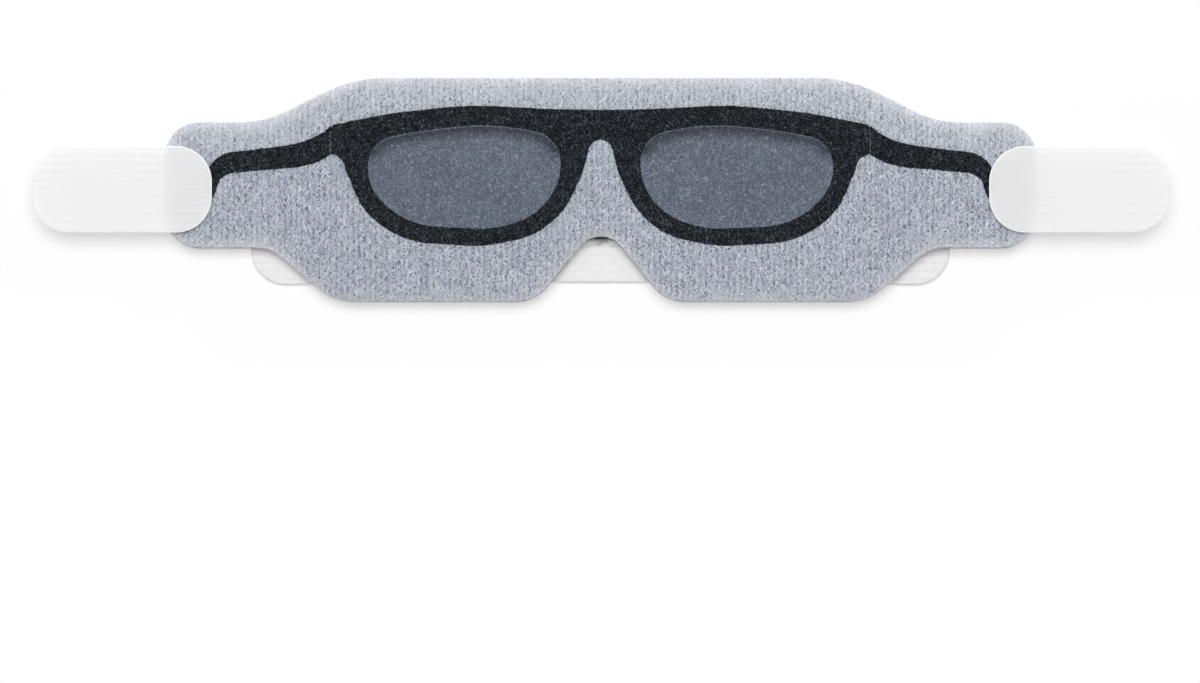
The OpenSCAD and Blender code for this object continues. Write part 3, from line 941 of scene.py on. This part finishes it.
def fleece_effect():
    """Curled fibres and pits. A curl shows where a warped noise is near its middle value, a pit where a
    second noise, drawn out along the ribs, is low, and the mottle is a slow third one."""
    tree, put, out = effect("Fleece Curls", {"Size": 1.0}, ["Curl", "Pit", "Mottle"])
    place = scaled(tree, put["Vector"], calc(tree, "DIVIDE", 1 / MM, put["Size"]))
    drawn = add_node(tree, "VectorMath", {0: place, 1: (1.0, 0.55, 1.0)}, operation="MULTIPLY").outputs[0]
    warped = noise(tree, place, 1.3, 1.0, warp=1.1)
    made = {
        "Curl": ramp(tree, calc(tree, "ABSOLUTE", less(tree, warped, 0.5)), 0.05, 0.0),
        "Pit": ramp(tree, noise(tree, drawn, 2.6, 1.0), 0.45, 0.36),
        "Mottle": ramp(tree, noise(tree, place, 0.16, 3.0), 0.3, 0.7),
    }
    for name, socket in made.items():
        tree.links.new(socket, out[name])
    return tree


def dots_effect():
    """Rows of dots: with fx and fy the distances from the nearest point of a lattice, a dot shows where
    sqrt(fx^2 + fy^2) is under its size."""
    tree, put, out = effect("Dot Rows", {"Pitch": 0.95, "Row Pitch": 1.8, "Size": 0.3}, ["Dot", "Row"])
    split = add_node(tree, "SeparateXYZ", {0: scaled(tree, put["Vector"], 1 / MM)}).outputs
    off = []
    for axis, pitch in (("X", put["Pitch"]), ("Y", put["Row Pitch"])):
        part = calc(tree, "FRACT", plus(tree, calc(tree, "DIVIDE", split[axis], pitch), 100.5))
        off.append(times(tree, less(tree, part, 0.5), pitch))
    far = calc(tree, "SQRT", plus(tree, *(times(tree, side, side) for side in off)))
    size = put["Size"]
    tree.links.new(ramp(tree, far, size, times(tree, size, 0.4)), out["Dot"])
    tree.links.new(ramp(tree, calc(tree, "ABSOLUTE", off[1]), size, times(tree, size, 0.3)), out["Row"])
    return tree


EFFECTS = {"Knit Ribs": knit_effect, "Fleece Curls": fleece_effect, "Dot Rows": dots_effect}


def placed(tree, group, **inputs):
    """Puts a node group, made when it is first asked for, into a material and returns its outputs."""
    made = tree.nodes.new("ShaderNodeGroup")
    made.node_tree = bpy.data.node_groups.get(group) or EFFECTS[group]()
    for key, value in inputs.items():
        socket = made.inputs[key.replace("_", " ")]
        if isinstance(value, bpy.types.NodeSocket):
            tree.links.new(value, socket)
        else:
            socket.default_value = value
    return made.outputs


def new_material(name, roughness, **plain):
    """New material with a Principled shader. plain sets its sockets that are the same all over."""
    material = bpy.data.materials.new(name)
    material.use_nodes = True
    tree = material.node_tree
    shader = next(n for n in tree.nodes if n.type == "BSDF_PRINCIPLED")
    shader.inputs["Roughness"].default_value = roughness
    for key, value in plain.items():
        shader.inputs[key.replace("_", " ")].default_value = value
    return material, tree, shader


def rest_place(tree):
    """The piece's points at rest, from its own attribute."""
    return add_node(tree, "Attribute", attribute_name="rest_place").outputs["Vector"]


def carried(tree, name):
    """The value that each point of the piece carries under a name, as an output."""
    return add_node(tree, "Attribute", attribute_name=name).outputs["Fac"]


def bumped(tree, shader, height, depth, strength=1.0):
    """Feeds a height through a Bump node to a shader's normal."""
    bump = add_node(tree, "Bump", {"Height": height, "Distance": depth, "Strength": strength})
    tree.links.new(bump.outputs[0], shader.inputs["Normal"])


def cloth_material(
    name, s, pit, base, light, groove, curl_size=0.9, depth=0.00012, lens=False, pale=None, sheen=0.02
):
    """Brushed knit: its base colour, mixed towards the pit colour in the grooves and pits, lighter along
    curled fibres, and lightened by the painted edge highlight where a pale colour is given.
    """
    finish = {"Specular_IOR_Level": 0.15, "Sheen_Weight": sheen, "Sheen_Roughness": 0.6}
    material, tree, shader = new_material(name, 0.85, **finish)
    place = rest_place(tree)
    knit = placed(tree, "Knit Ribs", Vector=place, Pitch=s["wale_pitch"])
    fleece = placed(tree, "Fleece Curls", Vector=place, Size=curl_size)
    fade = 1.0
    # The pale share is the painted edge highlight: it lightens the base colour and takes most of the painted
    # shade out of grooves and pits.
    if pale:
        share = carried(tree, "pale")
        base, fade = mixed(tree, share, base, pale), ramp(tree, share, 0.0, 1.0, 1.0, 0.35)
    # Grooves and pits take the pit colour. Where it is darker, as for the bare cloth, the frame and the
    # lining, it is painted shade between ribs and fibres.
    colour = mixed(tree, times(tree, times(tree, knit["Groove"], groove), fade), base, pit)
    colour = mixed(tree, times(tree, times(tree, fleece["Pit"], 0.85), fade), colour, pit)
    colour = mixed(tree, times(tree, fleece["Curl"], 0.7), colour, light)
    shade = ramp(tree, fleece["Mottle"], 0.0, 1.0, 0.93, 1.05)
    if lens:
        shade = times(tree, shade, lens_shade(tree))
    tree.links.new(scaled(tree, colour, shade), shader.inputs["Base Color"])
    height = plus(tree, knit["Height"], times(tree, fleece["Curl"], 0.6))
    bumped(tree, shader, less(tree, height, fleece["Pit"]), depth)
    tree.links.new(ramp(tree, fleece["Curl"], 0.0, 1.0, 0.9, 0.78), shader.inputs["Roughness"])
    return material


def lens_shade(tree):
    """Brightness of the lens print by the distance below its upper edge: a thin light line, then a dark
    band."""
    below = carried(tree, "below_edge")
    line = ramp(tree, below, 0.45, 0.1, 0.0, 0.45)
    return plus(tree, ramp(tree, below, 0.3, 3.8, 0.35, 1.0), line)


def thread_material(name, dark, light, lens=False, pale=None, sheen=0.02):
    """Threads of the pile, each with its own tone between two colours."""
    finish = {"Specular_IOR_Level": 0.15, "Sheen_Weight": sheen, "Sheen_Roughness": 0.5}
    material, tree, shader = new_material(name, 0.8, **finish)
    tone = carried(tree, "tone")
    fleece = placed(tree, "Fleece Curls", Vector=rest_place(tree), Size=0.35)
    share = times(tree, tone, ramp(tree, fleece["Mottle"], 0.0, 1.0, 0.8, 1.1), clamp=True)
    # Painted highlight: near the cut edge the pale share lightens the darkest threads.
    if pale:
        dark = mixed(tree, carried(tree, "pale"), dark, pale)
    colour = mixed(tree, share, dark, light)
    if lens:
        colour = scaled(tree, colour, lens_shade(tree))
    tree.links.new(colour, shader.inputs["Base Color"])
    tree.links.new(ramp(tree, tone, 0.0, 1.0, 0.92, 0.7), shader.inputs["Roughness"])
    bumped(tree, shader, fleece["Curl"], 0.00002)
    return material


def tape_material(look, s):
    """Moulded hook tape: milky plastic whose rows of hooks show as faint dots, and whose thin rim is painted
    whiter, a painted highlight along its rounded edge. A ray is dimmed once as it crosses the tape, where it
    enters, and scattered light is let through to the shadow."""
    finish = {"Specular_IOR_Level": 0.35, "Subsurface_Weight": 0.35, "Subsurface_Scale": 0.001}
    material, tree, shader = new_material("Hook tape", 0.42, Subsurface_Radius=(1.0, 1.0, 1.0), **finish)
    leaving = add_node(tree, "NewGeometry").outputs["Backfacing"]
    shade_ray = add_node(tree, "LightPath").outputs["Is Shadow Ray"]
    rim = carried(tree, "rim")
    alpha = less(tree, ramp(tree, rim, 0.0, 1.0, 0.85, 1.0), times(tree, shade_ray, 0.13))
    tree.links.new(times(tree, alpha, less(tree, 1.0, leaving)), shader.inputs["Alpha"])
    place = rest_place(tree)
    lattice = {"Pitch": s["hook_pitch"], "Row_Pitch": s["row_pitch"]}
    dots = placed(tree, "Dot Rows", Vector=place, Size=0.42, **lattice)
    fleece = placed(tree, "Fleece Curls", Vector=place, Size=2.2)
    faint = times(tree, dots["Dot"], ramp(tree, fleece["Mottle"], 0.3, 0.9, 0.0, 0.05))
    shade = less(tree, 1.0, plus(tree, faint, times(tree, dots["Row"], 0.01)))
    shade = times(tree, shade, ramp(tree, fleece["Mottle"], 0.0, 1.0, 0.985, 1.0))
    # Painted highlight: the colour goes to white along the rim.
    base = mixed(tree, rim, look.tape, (1.0, 1.0, 1.0))
    tree.links.new(scaled(tree, base, shade), shader.inputs["Base Color"])
    tree.links.new(ramp(tree, dots["Dot"], 0.0, 1.0, 0.42, 0.6), shader.inputs["Roughness"])
    height = less(tree, times(tree, fleece["Mottle"], 0.3), times(tree, dots["Dot"], 0.4))
    bumped(tree, shader, height, 0.00002)
    return material


def strap_material(look, s):
    """Smooth loop-faced strap with faint rows of dots and a soft grain."""
    finish = {"Specular_IOR_Level": 0.2, "Sheen_Weight": 0.1, "Sheen_Roughness": 0.6}
    material, tree, shader = new_material("Strap cloth", 0.8, **finish)
    place = rest_place(tree)
    lattice = {"Pitch": s["hook_pitch"], "Row_Pitch": s["row_pitch"]}
    dots = placed(tree, "Dot Rows", Vector=place, Size=0.4, **lattice)
    fleece = placed(tree, "Fleece Curls", Vector=place, Size=0.8)
    shade = times(tree, dots["Dot"], ramp(tree, fleece["Mottle"], 0.2, 0.9, 0.02, 0.09))
    shade = plus(tree, shade, times(tree, fleece["Pit"], 0.02))
    shade = less(tree, ramp(tree, fleece["Mottle"], 0.0, 1.0, 0.97, 1.0), shade)
    base = mixed(tree, fleece["Curl"], look.strap, toned(look.strap, 1.03))
    tree.links.new(scaled(tree, base, shade), shader.inputs["Base Color"])
    height = plus(tree, times(tree, dots["Dot"], -0.8), times(tree, fleece["Curl"], 0.4))
    bumped(tree, shader, height, 0.00005)
    tree.links.new(ramp(tree, fleece["Pit"], 0.0, 1.0, 0.78, 0.9), shader.inputs["Roughness"])
    return material


def foam_material(look):
    """Open-cell foam: round cells of a few tenths of a millimetre. Painted shade darkens each cell towards
    its hollow middle and darkens the pits.
    """
    material, tree, shader = new_material("Pad foam", 0.9, Specular_IOR_Level=0.15)
    place = rest_place(tree)
    cells = add_node(tree, "TexVoronoi", {"Vector": place, "Scale": 3200.0}).outputs["Distance"]
    fleece = placed(tree, "Fleece Curls", Vector=place, Size=1.4)
    shade = ramp(tree, fleece["Mottle"], 0.0, 1.0, 0.95, 1.02)
    # Painted shade: a cell is darkest at its middle, where the bump is lowest.
    shade = times(tree, ramp(tree, cells, 0.0, 0.6, 0.78, 1.03), shade)
    base = mixed(tree, fleece["Pit"], look.foam, toned(look.foam, 0.85))
    tree.links.new(scaled(tree, base, shade), shader.inputs["Base Color"])
    bumped(tree, shader, cells, 0.0001)
    return material


def film_material(look):
    """Matt blackout film with a fine tooth and faint creases."""
    material, tree, shader = new_material("Blackout film", 0.55, Specular_IOR_Level=0.4)
    fleece = placed(tree, "Fleece Curls", Vector=rest_place(tree), Size=1.8)
    base = mixed(tree, fleece["Mottle"], toned(look.film, 0.8), toned(look.film, 1.3))
    tree.links.new(base, shader.inputs["Base Color"])
    tree.links.new(ramp(tree, fleece["Curl"], 0.0, 1.0, 0.6, 0.45), shader.inputs["Roughness"])
    bumped(tree, shader, fleece["Curl"], 0.00003)
    return material


def floor_material(stage):
    """Plain floor that looks a little brighter to the eye than it lights the object. To the eye it fades into
    the white behind it a little outside three boxes round the shield, its wings and its tabs. It is clear
    from below, and from above where the ambient occlusion under it finds a piece that has bent down past it.
    Light that a surface just above it scatters down goes through, so that the object's back is lit too."""
    material, tree, shader = new_material("Pale floor", 0.9, Specular_IOR_Level=0.0)
    shader.inputs["Base Color"].default_value = (*stage.floor, 1)
    rays = add_node(tree, "LightPath").outputs
    seen = calc(tree, "MAXIMUM", rays["Is Camera Ray"], rays["Is Transmission Ray"])
    glow = {"Color": (1, 1, 1, 1), "Strength": times(tree, seen, stage.floor_glow)}
    glow = add_node(tree, "Emission", glow).outputs[0]
    lit = add_node(tree, "AddShader", {0: shader.outputs[0], 1: glow}).outputs[0]
    clear = add_node(tree, "BsdfTransparent").outputs[0]
    half = add_node(tree, "TexCoord").outputs["Object"]
    half = add_node(tree, "VectorMath", {0: half}, operation="ABSOLUTE").outputs[0]
    far = 1.0
    for x, y in ((BEND_X, BROW_Y), (TIP_X, WING_TOP), (TAB_X + TAB_LEN, TAB_W / 2)):
        box = {0: half, 1: (x * MM, y * MM, 0.0)}
        off = add_node(tree, "VectorMath", box, operation="SUBTRACT").outputs[0]
        off = add_node(tree, "VectorMath", {0: off, 1: (0.0, 0.0, 0.0)}, operation="MAXIMUM").outputs[0]
        off = add_node(tree, "VectorMath", {0: off}, operation="LENGTH").outputs["Value"]
        far = calc(tree, "MINIMUM", far, off)
    under = add_node(tree, "AmbientOcclusion", {"Distance": LOOK_DOWN}, inside=True, samples=16).outputs["AO"]
    peek = either(tree, calc(tree, "LESS_THAN", under, OPEN_BELOW), lit, clear)
    pool = either(tree, ramp(tree, far, POOL_FULL, POOL_GONE), peek, clear)
    close = calc(tree, "LESS_THAN", rays["Ray Length"], NEAR_FLOOR)
    bounce = either(tree, times(tree, rays["Is Diffuse Ray"], close), lit, clear)
    front = either(tree, rays["Is Camera Ray"], bounce, pool)
    both = either(tree, add_node(tree, "NewGeometry").outputs["Backfacing"], front, clear)
    out = next(n for n in tree.nodes if n.type == "OUTPUT_MATERIAL")
    tree.links.new(both, out.inputs["Surface"])
    return material


def light_world(world, stage):
    """White to the eye and in reflections. As a light it is plain from all round, and stronger from below."""
    world.use_nodes = True
    tree = world.node_tree
    rays = add_node(tree, "LightPath").outputs
    seen = calc(tree, "MAXIMUM", rays["Is Glossy Ray"], rays["Is Transmission Ray"])
    seen = calc(tree, "MAXIMUM", rays["Is Camera Ray"], seen)
    place = add_node(tree, "TexCoord").outputs["Generated"]
    height = add_node(tree, "SeparateXYZ", {0: place}).outputs["Z"]
    around = ramp(tree, height, -0.1, 0.0, stage.bounce, stage.fill)
    back = next(n for n in tree.nodes if n.type == "BACKGROUND")
    back.inputs["Color"].default_value = (1, 1, 1, 1)
    tree.links.new(calc(tree, "MAXIMUM", seen, around), back.inputs["Strength"])


def finish_named(name):
    """Material of this object by its name, made the first time that it is asked for."""
    if name in bpy.data.materials:
        return bpy.data.materials[name]
    look, s = bpy.context.scene.eye_shield_look, sizes()
    # This gives the painted edge highlight colour, with a sheen, to the bare cloth and its loops.
    highlight_and_sheen = {"pale": look.cloth_pale, "sheen": 0.08}
    lining = {"groove": 0.25, "curl_size": 0.5, "depth": 0.00005}
    # A cloth's first colour fills its grooves and pits: painted shade where it is darker than the second.
    cloths = {
        "Loop cloth": (look.cloth_pit, look.cloth, look.loop_light, {"groove": 0.4, **highlight_and_sheen}),
        "Frame ink": (toned(look.ink, 0.5), look.ink, look.ink_light, {"groove": 0.3}),
        "Lens ink": (look.ink_light, look.lens, look.lens_light, {"groove": 0.3, "lens": True}),
        "Lining cloth": (toned(look.lining, 0.8), look.lining, look.lining, lining),
    }
    piles = {
        "Loop threads": (look.loop_dark, look.loop_light, highlight_and_sheen),
        "Frame threads": (look.ink, look.ink_light, {}),
        "Lens threads": (look.lens, look.lens_light, {"lens": True}),
        "Film fuzz": (look.film, toned(look.film, 4), {}),
    }
    if name in cloths:
        *colours, more = cloths[name]
        return cloth_material(name, s, *colours, **more)
    if name in piles:
        *colours, more = piles[name]
        return thread_material(name, *colours, **more)
    others = {
        "Hook tape": (tape_material, look, s),
        "Strap cloth": (strap_material, look, s),
        "Pad foam": (foam_material, look),
        "Blackout film": (film_material, look),
    }
    make, *given = others[name]
    return make(*given)


# Operators


class EYESHIELD_OT_stage(bpy.types.Operator):
    """Floor, soft light and the camera that looks straight down on the print"""

    bl_idname = "eye_shield.stage"
    bl_label = "Stage"
    bl_options = {"REGISTER", "UNDO"}

    def execute(self, context):
        stage = context.scene.eye_shield_stage
        mesh = bpy.data.meshes.new("floor")
        corners = [(x * FLOOR_HALF, y * FLOOR_HALF, FLOOR_Z) for x, y in reversed(CORNER_SIGNS)]
        mesh.from_pydata(corners, [], [(0, 1, 2, 3)])
        mesh.materials.append(floor_material(stage))
        linked("floor", mesh)

        lamp = bpy.data.lights.new("key", "AREA")
        lamp.shape, lamp.energy = "RECTANGLE", stage.key_power
        lamp.size, lamp.size_y = KEY_SIZE
        key = linked("key", lamp)
        key.location = KEY_PLACE
        key.rotation_euler = (-math.atan2(*KEY_PLACE[1:]), 0, 0)

        context.scene.world = bpy.data.worlds.new("studio")
        light_world(context.scene.world, stage)

        view = bpy.data.cameras.new("camera")
        view.lens, view.sensor_width = CAMERA_LENS, CAMERA_SENSOR
        view.clip_start, view.clip_end = 0.01, 20
        camera = linked("camera", view)
        camera.location = (CAMERA_X, CAMERA_Y, FACE_Z * MM + stage.distance)
        context.scene.camera = camera
        context.scene.view_settings.view_transform = "Standard"
        return {"FINISHED"}


class EYESHIELD_OT_cloth(bpy.types.Operator):
    """Front cloth: a knit sheet that falls to its cut edge over the foam, in three pieces with flush seams"""

    bl_idname = "eye_shield.cloth"
    bl_label = "Front cloth"
    bl_options = {"REGISTER", "UNDO"}

    def execute(self, context):
        s = sizes()
        for part, (xy, quads) in pad_patches(HALF, *FACE_GRID).items():
            points, faces = shell(xy, quads, face_height(xy, s), foam_height(xy, s) + LAYER_GAP)
            made = f"front_cloth_{part}", points, faces, "Loop cloth", "loop_fabric", CLOTH_SHARP
            # pale carries the painted edge highlight to the top and the bottom of the sheet.
            piece = add_piece(*made, pale=np.tile(painted_edge_highlight(xy), 2))
            stand_for("face_fabric", part)
            follow(piece, part)
        return {"FINISHED"}


class EYESHIELD_OT_padding(bpy.types.Operator):
    """Foam, blackout film and lining under the front cloth"""

    bl_idname = "eye_shield.padding"
    bl_label = "Padding"
    bl_options = {"REGISTER", "UNDO"}

    def execute(self, context):
        s = sizes()
        peek = FILM_PEEK * np.exp(-((HALF[:, 0] / PEEK_SPREAD) ** 2)) * (HALF[:, 1] < 0)
        film_edge = grown(HALF, FILM_OUT + peek)
        lining_edge = grown(HALF, np.full(len(HALF), LINING_OUT))
        film, lining = (FOAM_Z - LAYER_GAP, FILM_Z + LAYER_GAP), (FILM_Z, LINING_Z)
        # A top of None is the foam's own height
        layers = (
            ("foam_pad", "foam_core", "Pad foam", "foam", HALF, None, FOAM_Z),
            ("film_sheet", "blackout_film", "Blackout film", "blackout_film", film_edge, *film),
            ("lining_cloth", "skin_lining", "Lining cloth", "lining_fabric", lining_edge, *lining),
        )
        for name, layer, finish, slot, edge, top, low in layers:
            for part, (xy, quads) in pad_patches(edge, *LAYER_GRID).items():
                mesh = shell(xy, quads, foam_height(xy, s) if top is None else top, low)
                piece = add_piece(f"{name}_{part}", *mesh, finish, slot, CLOTH_SHARP)
                stand_for(layer, part)
                follow(piece, part)
        return {"FINISHED"}


class EYESHIELD_OT_prints(bpy.types.Operator):
    """Inked knit of the frame, the lenses and the temples, flush on the cloth"""

    bl_idname = "eye_shield.prints"
    bl_label = "Prints"
    bl_options = {"REGISTER", "UNDO"}

    def execute(self, context):
        s = sizes()
        piece = printed("frame_print", *frame_mesh(), "Frame ink", "black_ink", s)
        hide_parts("printed_frame_left", "printed_frame_right")
        follow(piece, "middle")
        lens, temple = filled(LENS, *LENS_GRID), temple_mesh()
        for side in ("right", "left"):
            xy, quads = on_side(lens, side)
            below = np.tile(below_lens_edge(xy), 2)
            piece = printed(f"lens_print_{side}", xy, quads, "Lens ink", "lens_ink", s, below_edge=below)
            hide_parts(f"printed_lens_{side}")
            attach(piece, f"{side}_half")
            piece = printed(f"temple_print_{side}", *on_side(temple, side), "Frame ink", "black_ink", s)
            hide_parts(f"printed_temple_{side}", f"printed_temple_tip_{side}")
            follow(piece, side)
        return {"FINISHED"}


class EYESHIELD_OT_pile(bpy.types.Operator):
    """Brushed pile: thousands of small curled loops on cloth and prints, and fuzz along the cut edge"""

    bl_idname = "eye_shield.pile"
    bl_label = "Pile"
    bl_options = {"REGISTER", "UNDO"}

    def execute(self, context):
        s, look = sizes(), context.scene.eye_shield_look
        rng = np.random.default_rng(SEED)
        roots = pile_roots(s, look, rng)
        region = print_at(roots)
        kept = (region == BARE) | (rng.random(len(roots)) < INKED_SHARE)
        roots, region = roots[kept], region[kept]
        total = len(roots)
        # A loop heads up its rib within some 43 degrees to either side. Where it would cross the edge of a
        # print, it is cut to 0.35 of its length.
        heading = np.pi / 2 + rng.normal(0, 0.75, total)
        length = s["loop_length"] * rng.uniform(0.5, 1.4, total)
        curl = rng.choice([-1, 1], total) * rng.uniform(0.8, 4.6, total)
        reach = 0.42 * length[:, None] * np.column_stack((np.cos(heading), np.sin(heading)))
        crosses = (print_at(roots + reach) != region) | (print_at(roots - reach) != region)
        length = np.where(crosses, length * 0.35, length)

        def pile(name, where, finish, slot, light, spread, rise=1.0, **values):
            """Piece of the loops in one place. Its threads' tones are drawn round the value light."""
            centre, n = roots[where], int(where.sum())
            made = threads(
                centre,
                heading[where],
                length[where],
                curl[where],
                s["loop_radius"] * rng.uniform(0.65, 1.3, n),
                s["loop_rise"] * rise * rng.uniform(0.4, 1.3, n),
                lambda p: face_height(p, s) + 0.03,
            )
            values = {key: make(centre) for key, make in values.items()}
            tone = np.clip(rng.normal(light, spread, n), 0, 1)
            return thread_piece(name, made, finish, slot, **values, tone=tone)

        x = roots[:, 0]
        parts = {
            "left": x < -SEAM_X,
            "middle_left": (x >= -SEAM_X) & (x < 0),
            "middle_right": (x >= 0) & (x < SEAM_X),
            "right": x >= SEAM_X,
        }
        loose = "Loop threads", "loop_fabric", 0.78, 0.45
        inked = "Frame threads", "black_ink", -0.22, 0.36, 0.6
        glass = "Lens threads", "lens_ink", 0.3, 0.24, 0.6
        for part, there in parts.items():
            # The bare loops carry the painted edge highlight as pale.
            piece = pile(f"front_pile_{part}", there & (region == BARE), *loose, pale=painted_edge_highlight)
            follow(piece, part.split("_")[0])
        follow(pile("frame_pile", region == ON_FRAME, *inked), "middle")
        for side, there in (("left", x < 0), ("right", x > 0)):
            lens, temple = there & (region == ON_LENS), there & (region == ON_TEMPLE)
            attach(pile(f"lens_pile_{side}", lens, *glass, below_edge=below_lens_edge), f"{side}_half")
            follow(pile(f"temple_pile_{side}", temple, *inked), side)
            hinge_mark(side, s, rng)
        edge_fuzz(s, rng)
        film_fuzz(rng)
        return {"FINISHED"}


class EYESHIELD_OT_tape(bpy.types.Operator):
    """Two tabs of moulded hook tape, with ribs and hooks underneath"""

    bl_idname = "eye_shield.tape"
    bl_label = "Hook tape"
    bl_options = {"REGISTER", "UNDO"}

    def execute(self, context):
        s = sizes()
        xy, quads = filled(TAB, *TAB_GRID)
        d = distance(xy, closed(TAB))
        # With row = cos^2(pi y / row pitch) and dot = cos^2(pi x / hook pitch) row^3, a rib of 0.09 row^6
        # runs under each row, from 0.5 mm inside the rim, and each hook leaves a dimple of 0.01 dot in the
        # top. The rim is rounded by 0.08 (1 - d / 0.35)^2 above and 0.06 (1 - d / 0.3)^2 below.
        row = np.cos(np.pi * (xy[:, 1] / s["row_pitch"])) ** 2
        dot = np.cos(np.pi * xy[:, 0] / s["hook_pitch"]) ** 2 * row**3
        top = WEB_TOP - 0.08 * fallen(d / 0.35) - 0.01 * dot
        low = WEB_Z + 0.06 * fallen(d / 0.3) - 0.09 * row**6 * np.clip((d - 0.5) / 0.4, 0, 1)
        # rim is the painted highlight along the tape's edge, where the tape is also opaque.
        rim = np.tile(smooth((0.42 - d) / 0.25), 2)
        tape, hooks = shell(xy, quads, top, low), hook_mesh(hook_places(s))
        finish = "Hook tape", "hook_tape", TAPE_SHARP
        for side, sign in (("right", 1), ("left", -1)):
            piece = add_piece(f"hook_tape_{side}", *on_side(tape, side), *finish, rim=rim)
            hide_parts(f"hook_tab_{side}")
            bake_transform(piece)
            piece = add_piece(f"tape_hooks_{side}", *on_side(hooks, side), *finish)
            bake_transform(piece)
        return {"FINISHED"}


class EYESHIELD_OT_strap(bpy.types.Operator):
    """Flat head strap that lies under the shield, its middle a little higher than its ends"""

    bl_idname = "eye_shield.strap"
    bl_label = "Strap"
    bl_options = {"REGISTER", "UNDO"}

    def execute(self, context):
        s = sizes()
        outline = box_outline(0, STRAP_Y, STRAP_LEN, STRAP_W, STRAP_R)
        xy, quads = filled(outline, *STRAP_GRID)
        # The plan is bowed up by strap bow cos^2(pi x / length). The edge is rounded by 0.2 (1 - d / 0.5)^2
        # above and 0.12 (1 - d / 0.5)^2 below, and the top dips by 0.03 cos^2(pi y / row pitch) in rows.
        bow = s["strap_bow"] * np.cos(np.pi * xy[:, 0] / STRAP_LEN) ** 2
        bowed = xy + np.column_stack((np.zeros(len(xy)), bow))
        edge = fallen(distance(xy, closed(outline)) / 0.5)
        row = np.cos(np.pi * xy[:, 1] / s["row_pitch"]) ** 2
        mesh = shell(bowed, quads, STRAP_TOP - 0.2 * edge - 0.03 * row, 0.02 + 0.12 * edge)
        piece = add_piece("strap_cloth", *mesh, "Strap cloth", "strap_fabric", TAPE_SHARP)
        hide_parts("head_strap")
        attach(piece, "strap")
        return {"FINISHED"}


class EYESHIELD_PT_panel(bpy.types.Panel):
    """Sizes, finishes and the steps that build the eye shield"""

    bl_idname = "EYESHIELD_PT_panel"
    bl_label = "Eye Shield"
    bl_space_type = "VIEW_3D"
    bl_region_type = "UI"
    bl_category = "Eye Shield"

    def draw(self, context):
        column = self.layout.column(align=True)
        for step in STEPS:
            column.operator(f"eye_shield.{step}")
        for group, kind in GROUPS.items():
            box = self.layout.box()
            for name in kind.__annotations__:
                box.prop(getattr(context.scene, group), name)


STEPS = ("stage", "pile", "cloth", "padding", "prints", "tape", "strap")
GROUPS = {
    "eye_shield_sizes": EyeShieldSizes,
    "eye_shield_look": EyeShieldLook,
    "eye_shield_stage": EyeShieldStage,
}
CLASSES = (
    *GROUPS.values(),
    EYESHIELD_OT_stage,
    EYESHIELD_OT_cloth,
    EYESHIELD_OT_padding,
    EYESHIELD_OT_prints,
    EYESHIELD_OT_pile,
    EYESHIELD_OT_tape,
    EYESHIELD_OT_strap,
    EYESHIELD_PT_panel,
)


def register():
    """Adds the property groups, operators and panel to Blender."""
    for kind in CLASSES:
        bpy.utils.register_class(kind)
    for name, kind in GROUPS.items():
        setattr(bpy.types.Scene, name, PointerProperty(type=kind))


def unregister():
    """Takes them out again."""
    for name in GROUPS:
        delattr(bpy.types.Scene, name)
    for kind in reversed(CLASSES):
        bpy.utils.unregister_class(kind)


def main():
    """Builds everything."""
    register()
    for step in STEPS:
        getattr(bpy.ops.eye_shield, step)()


if __name__ == "__main__":
    main()
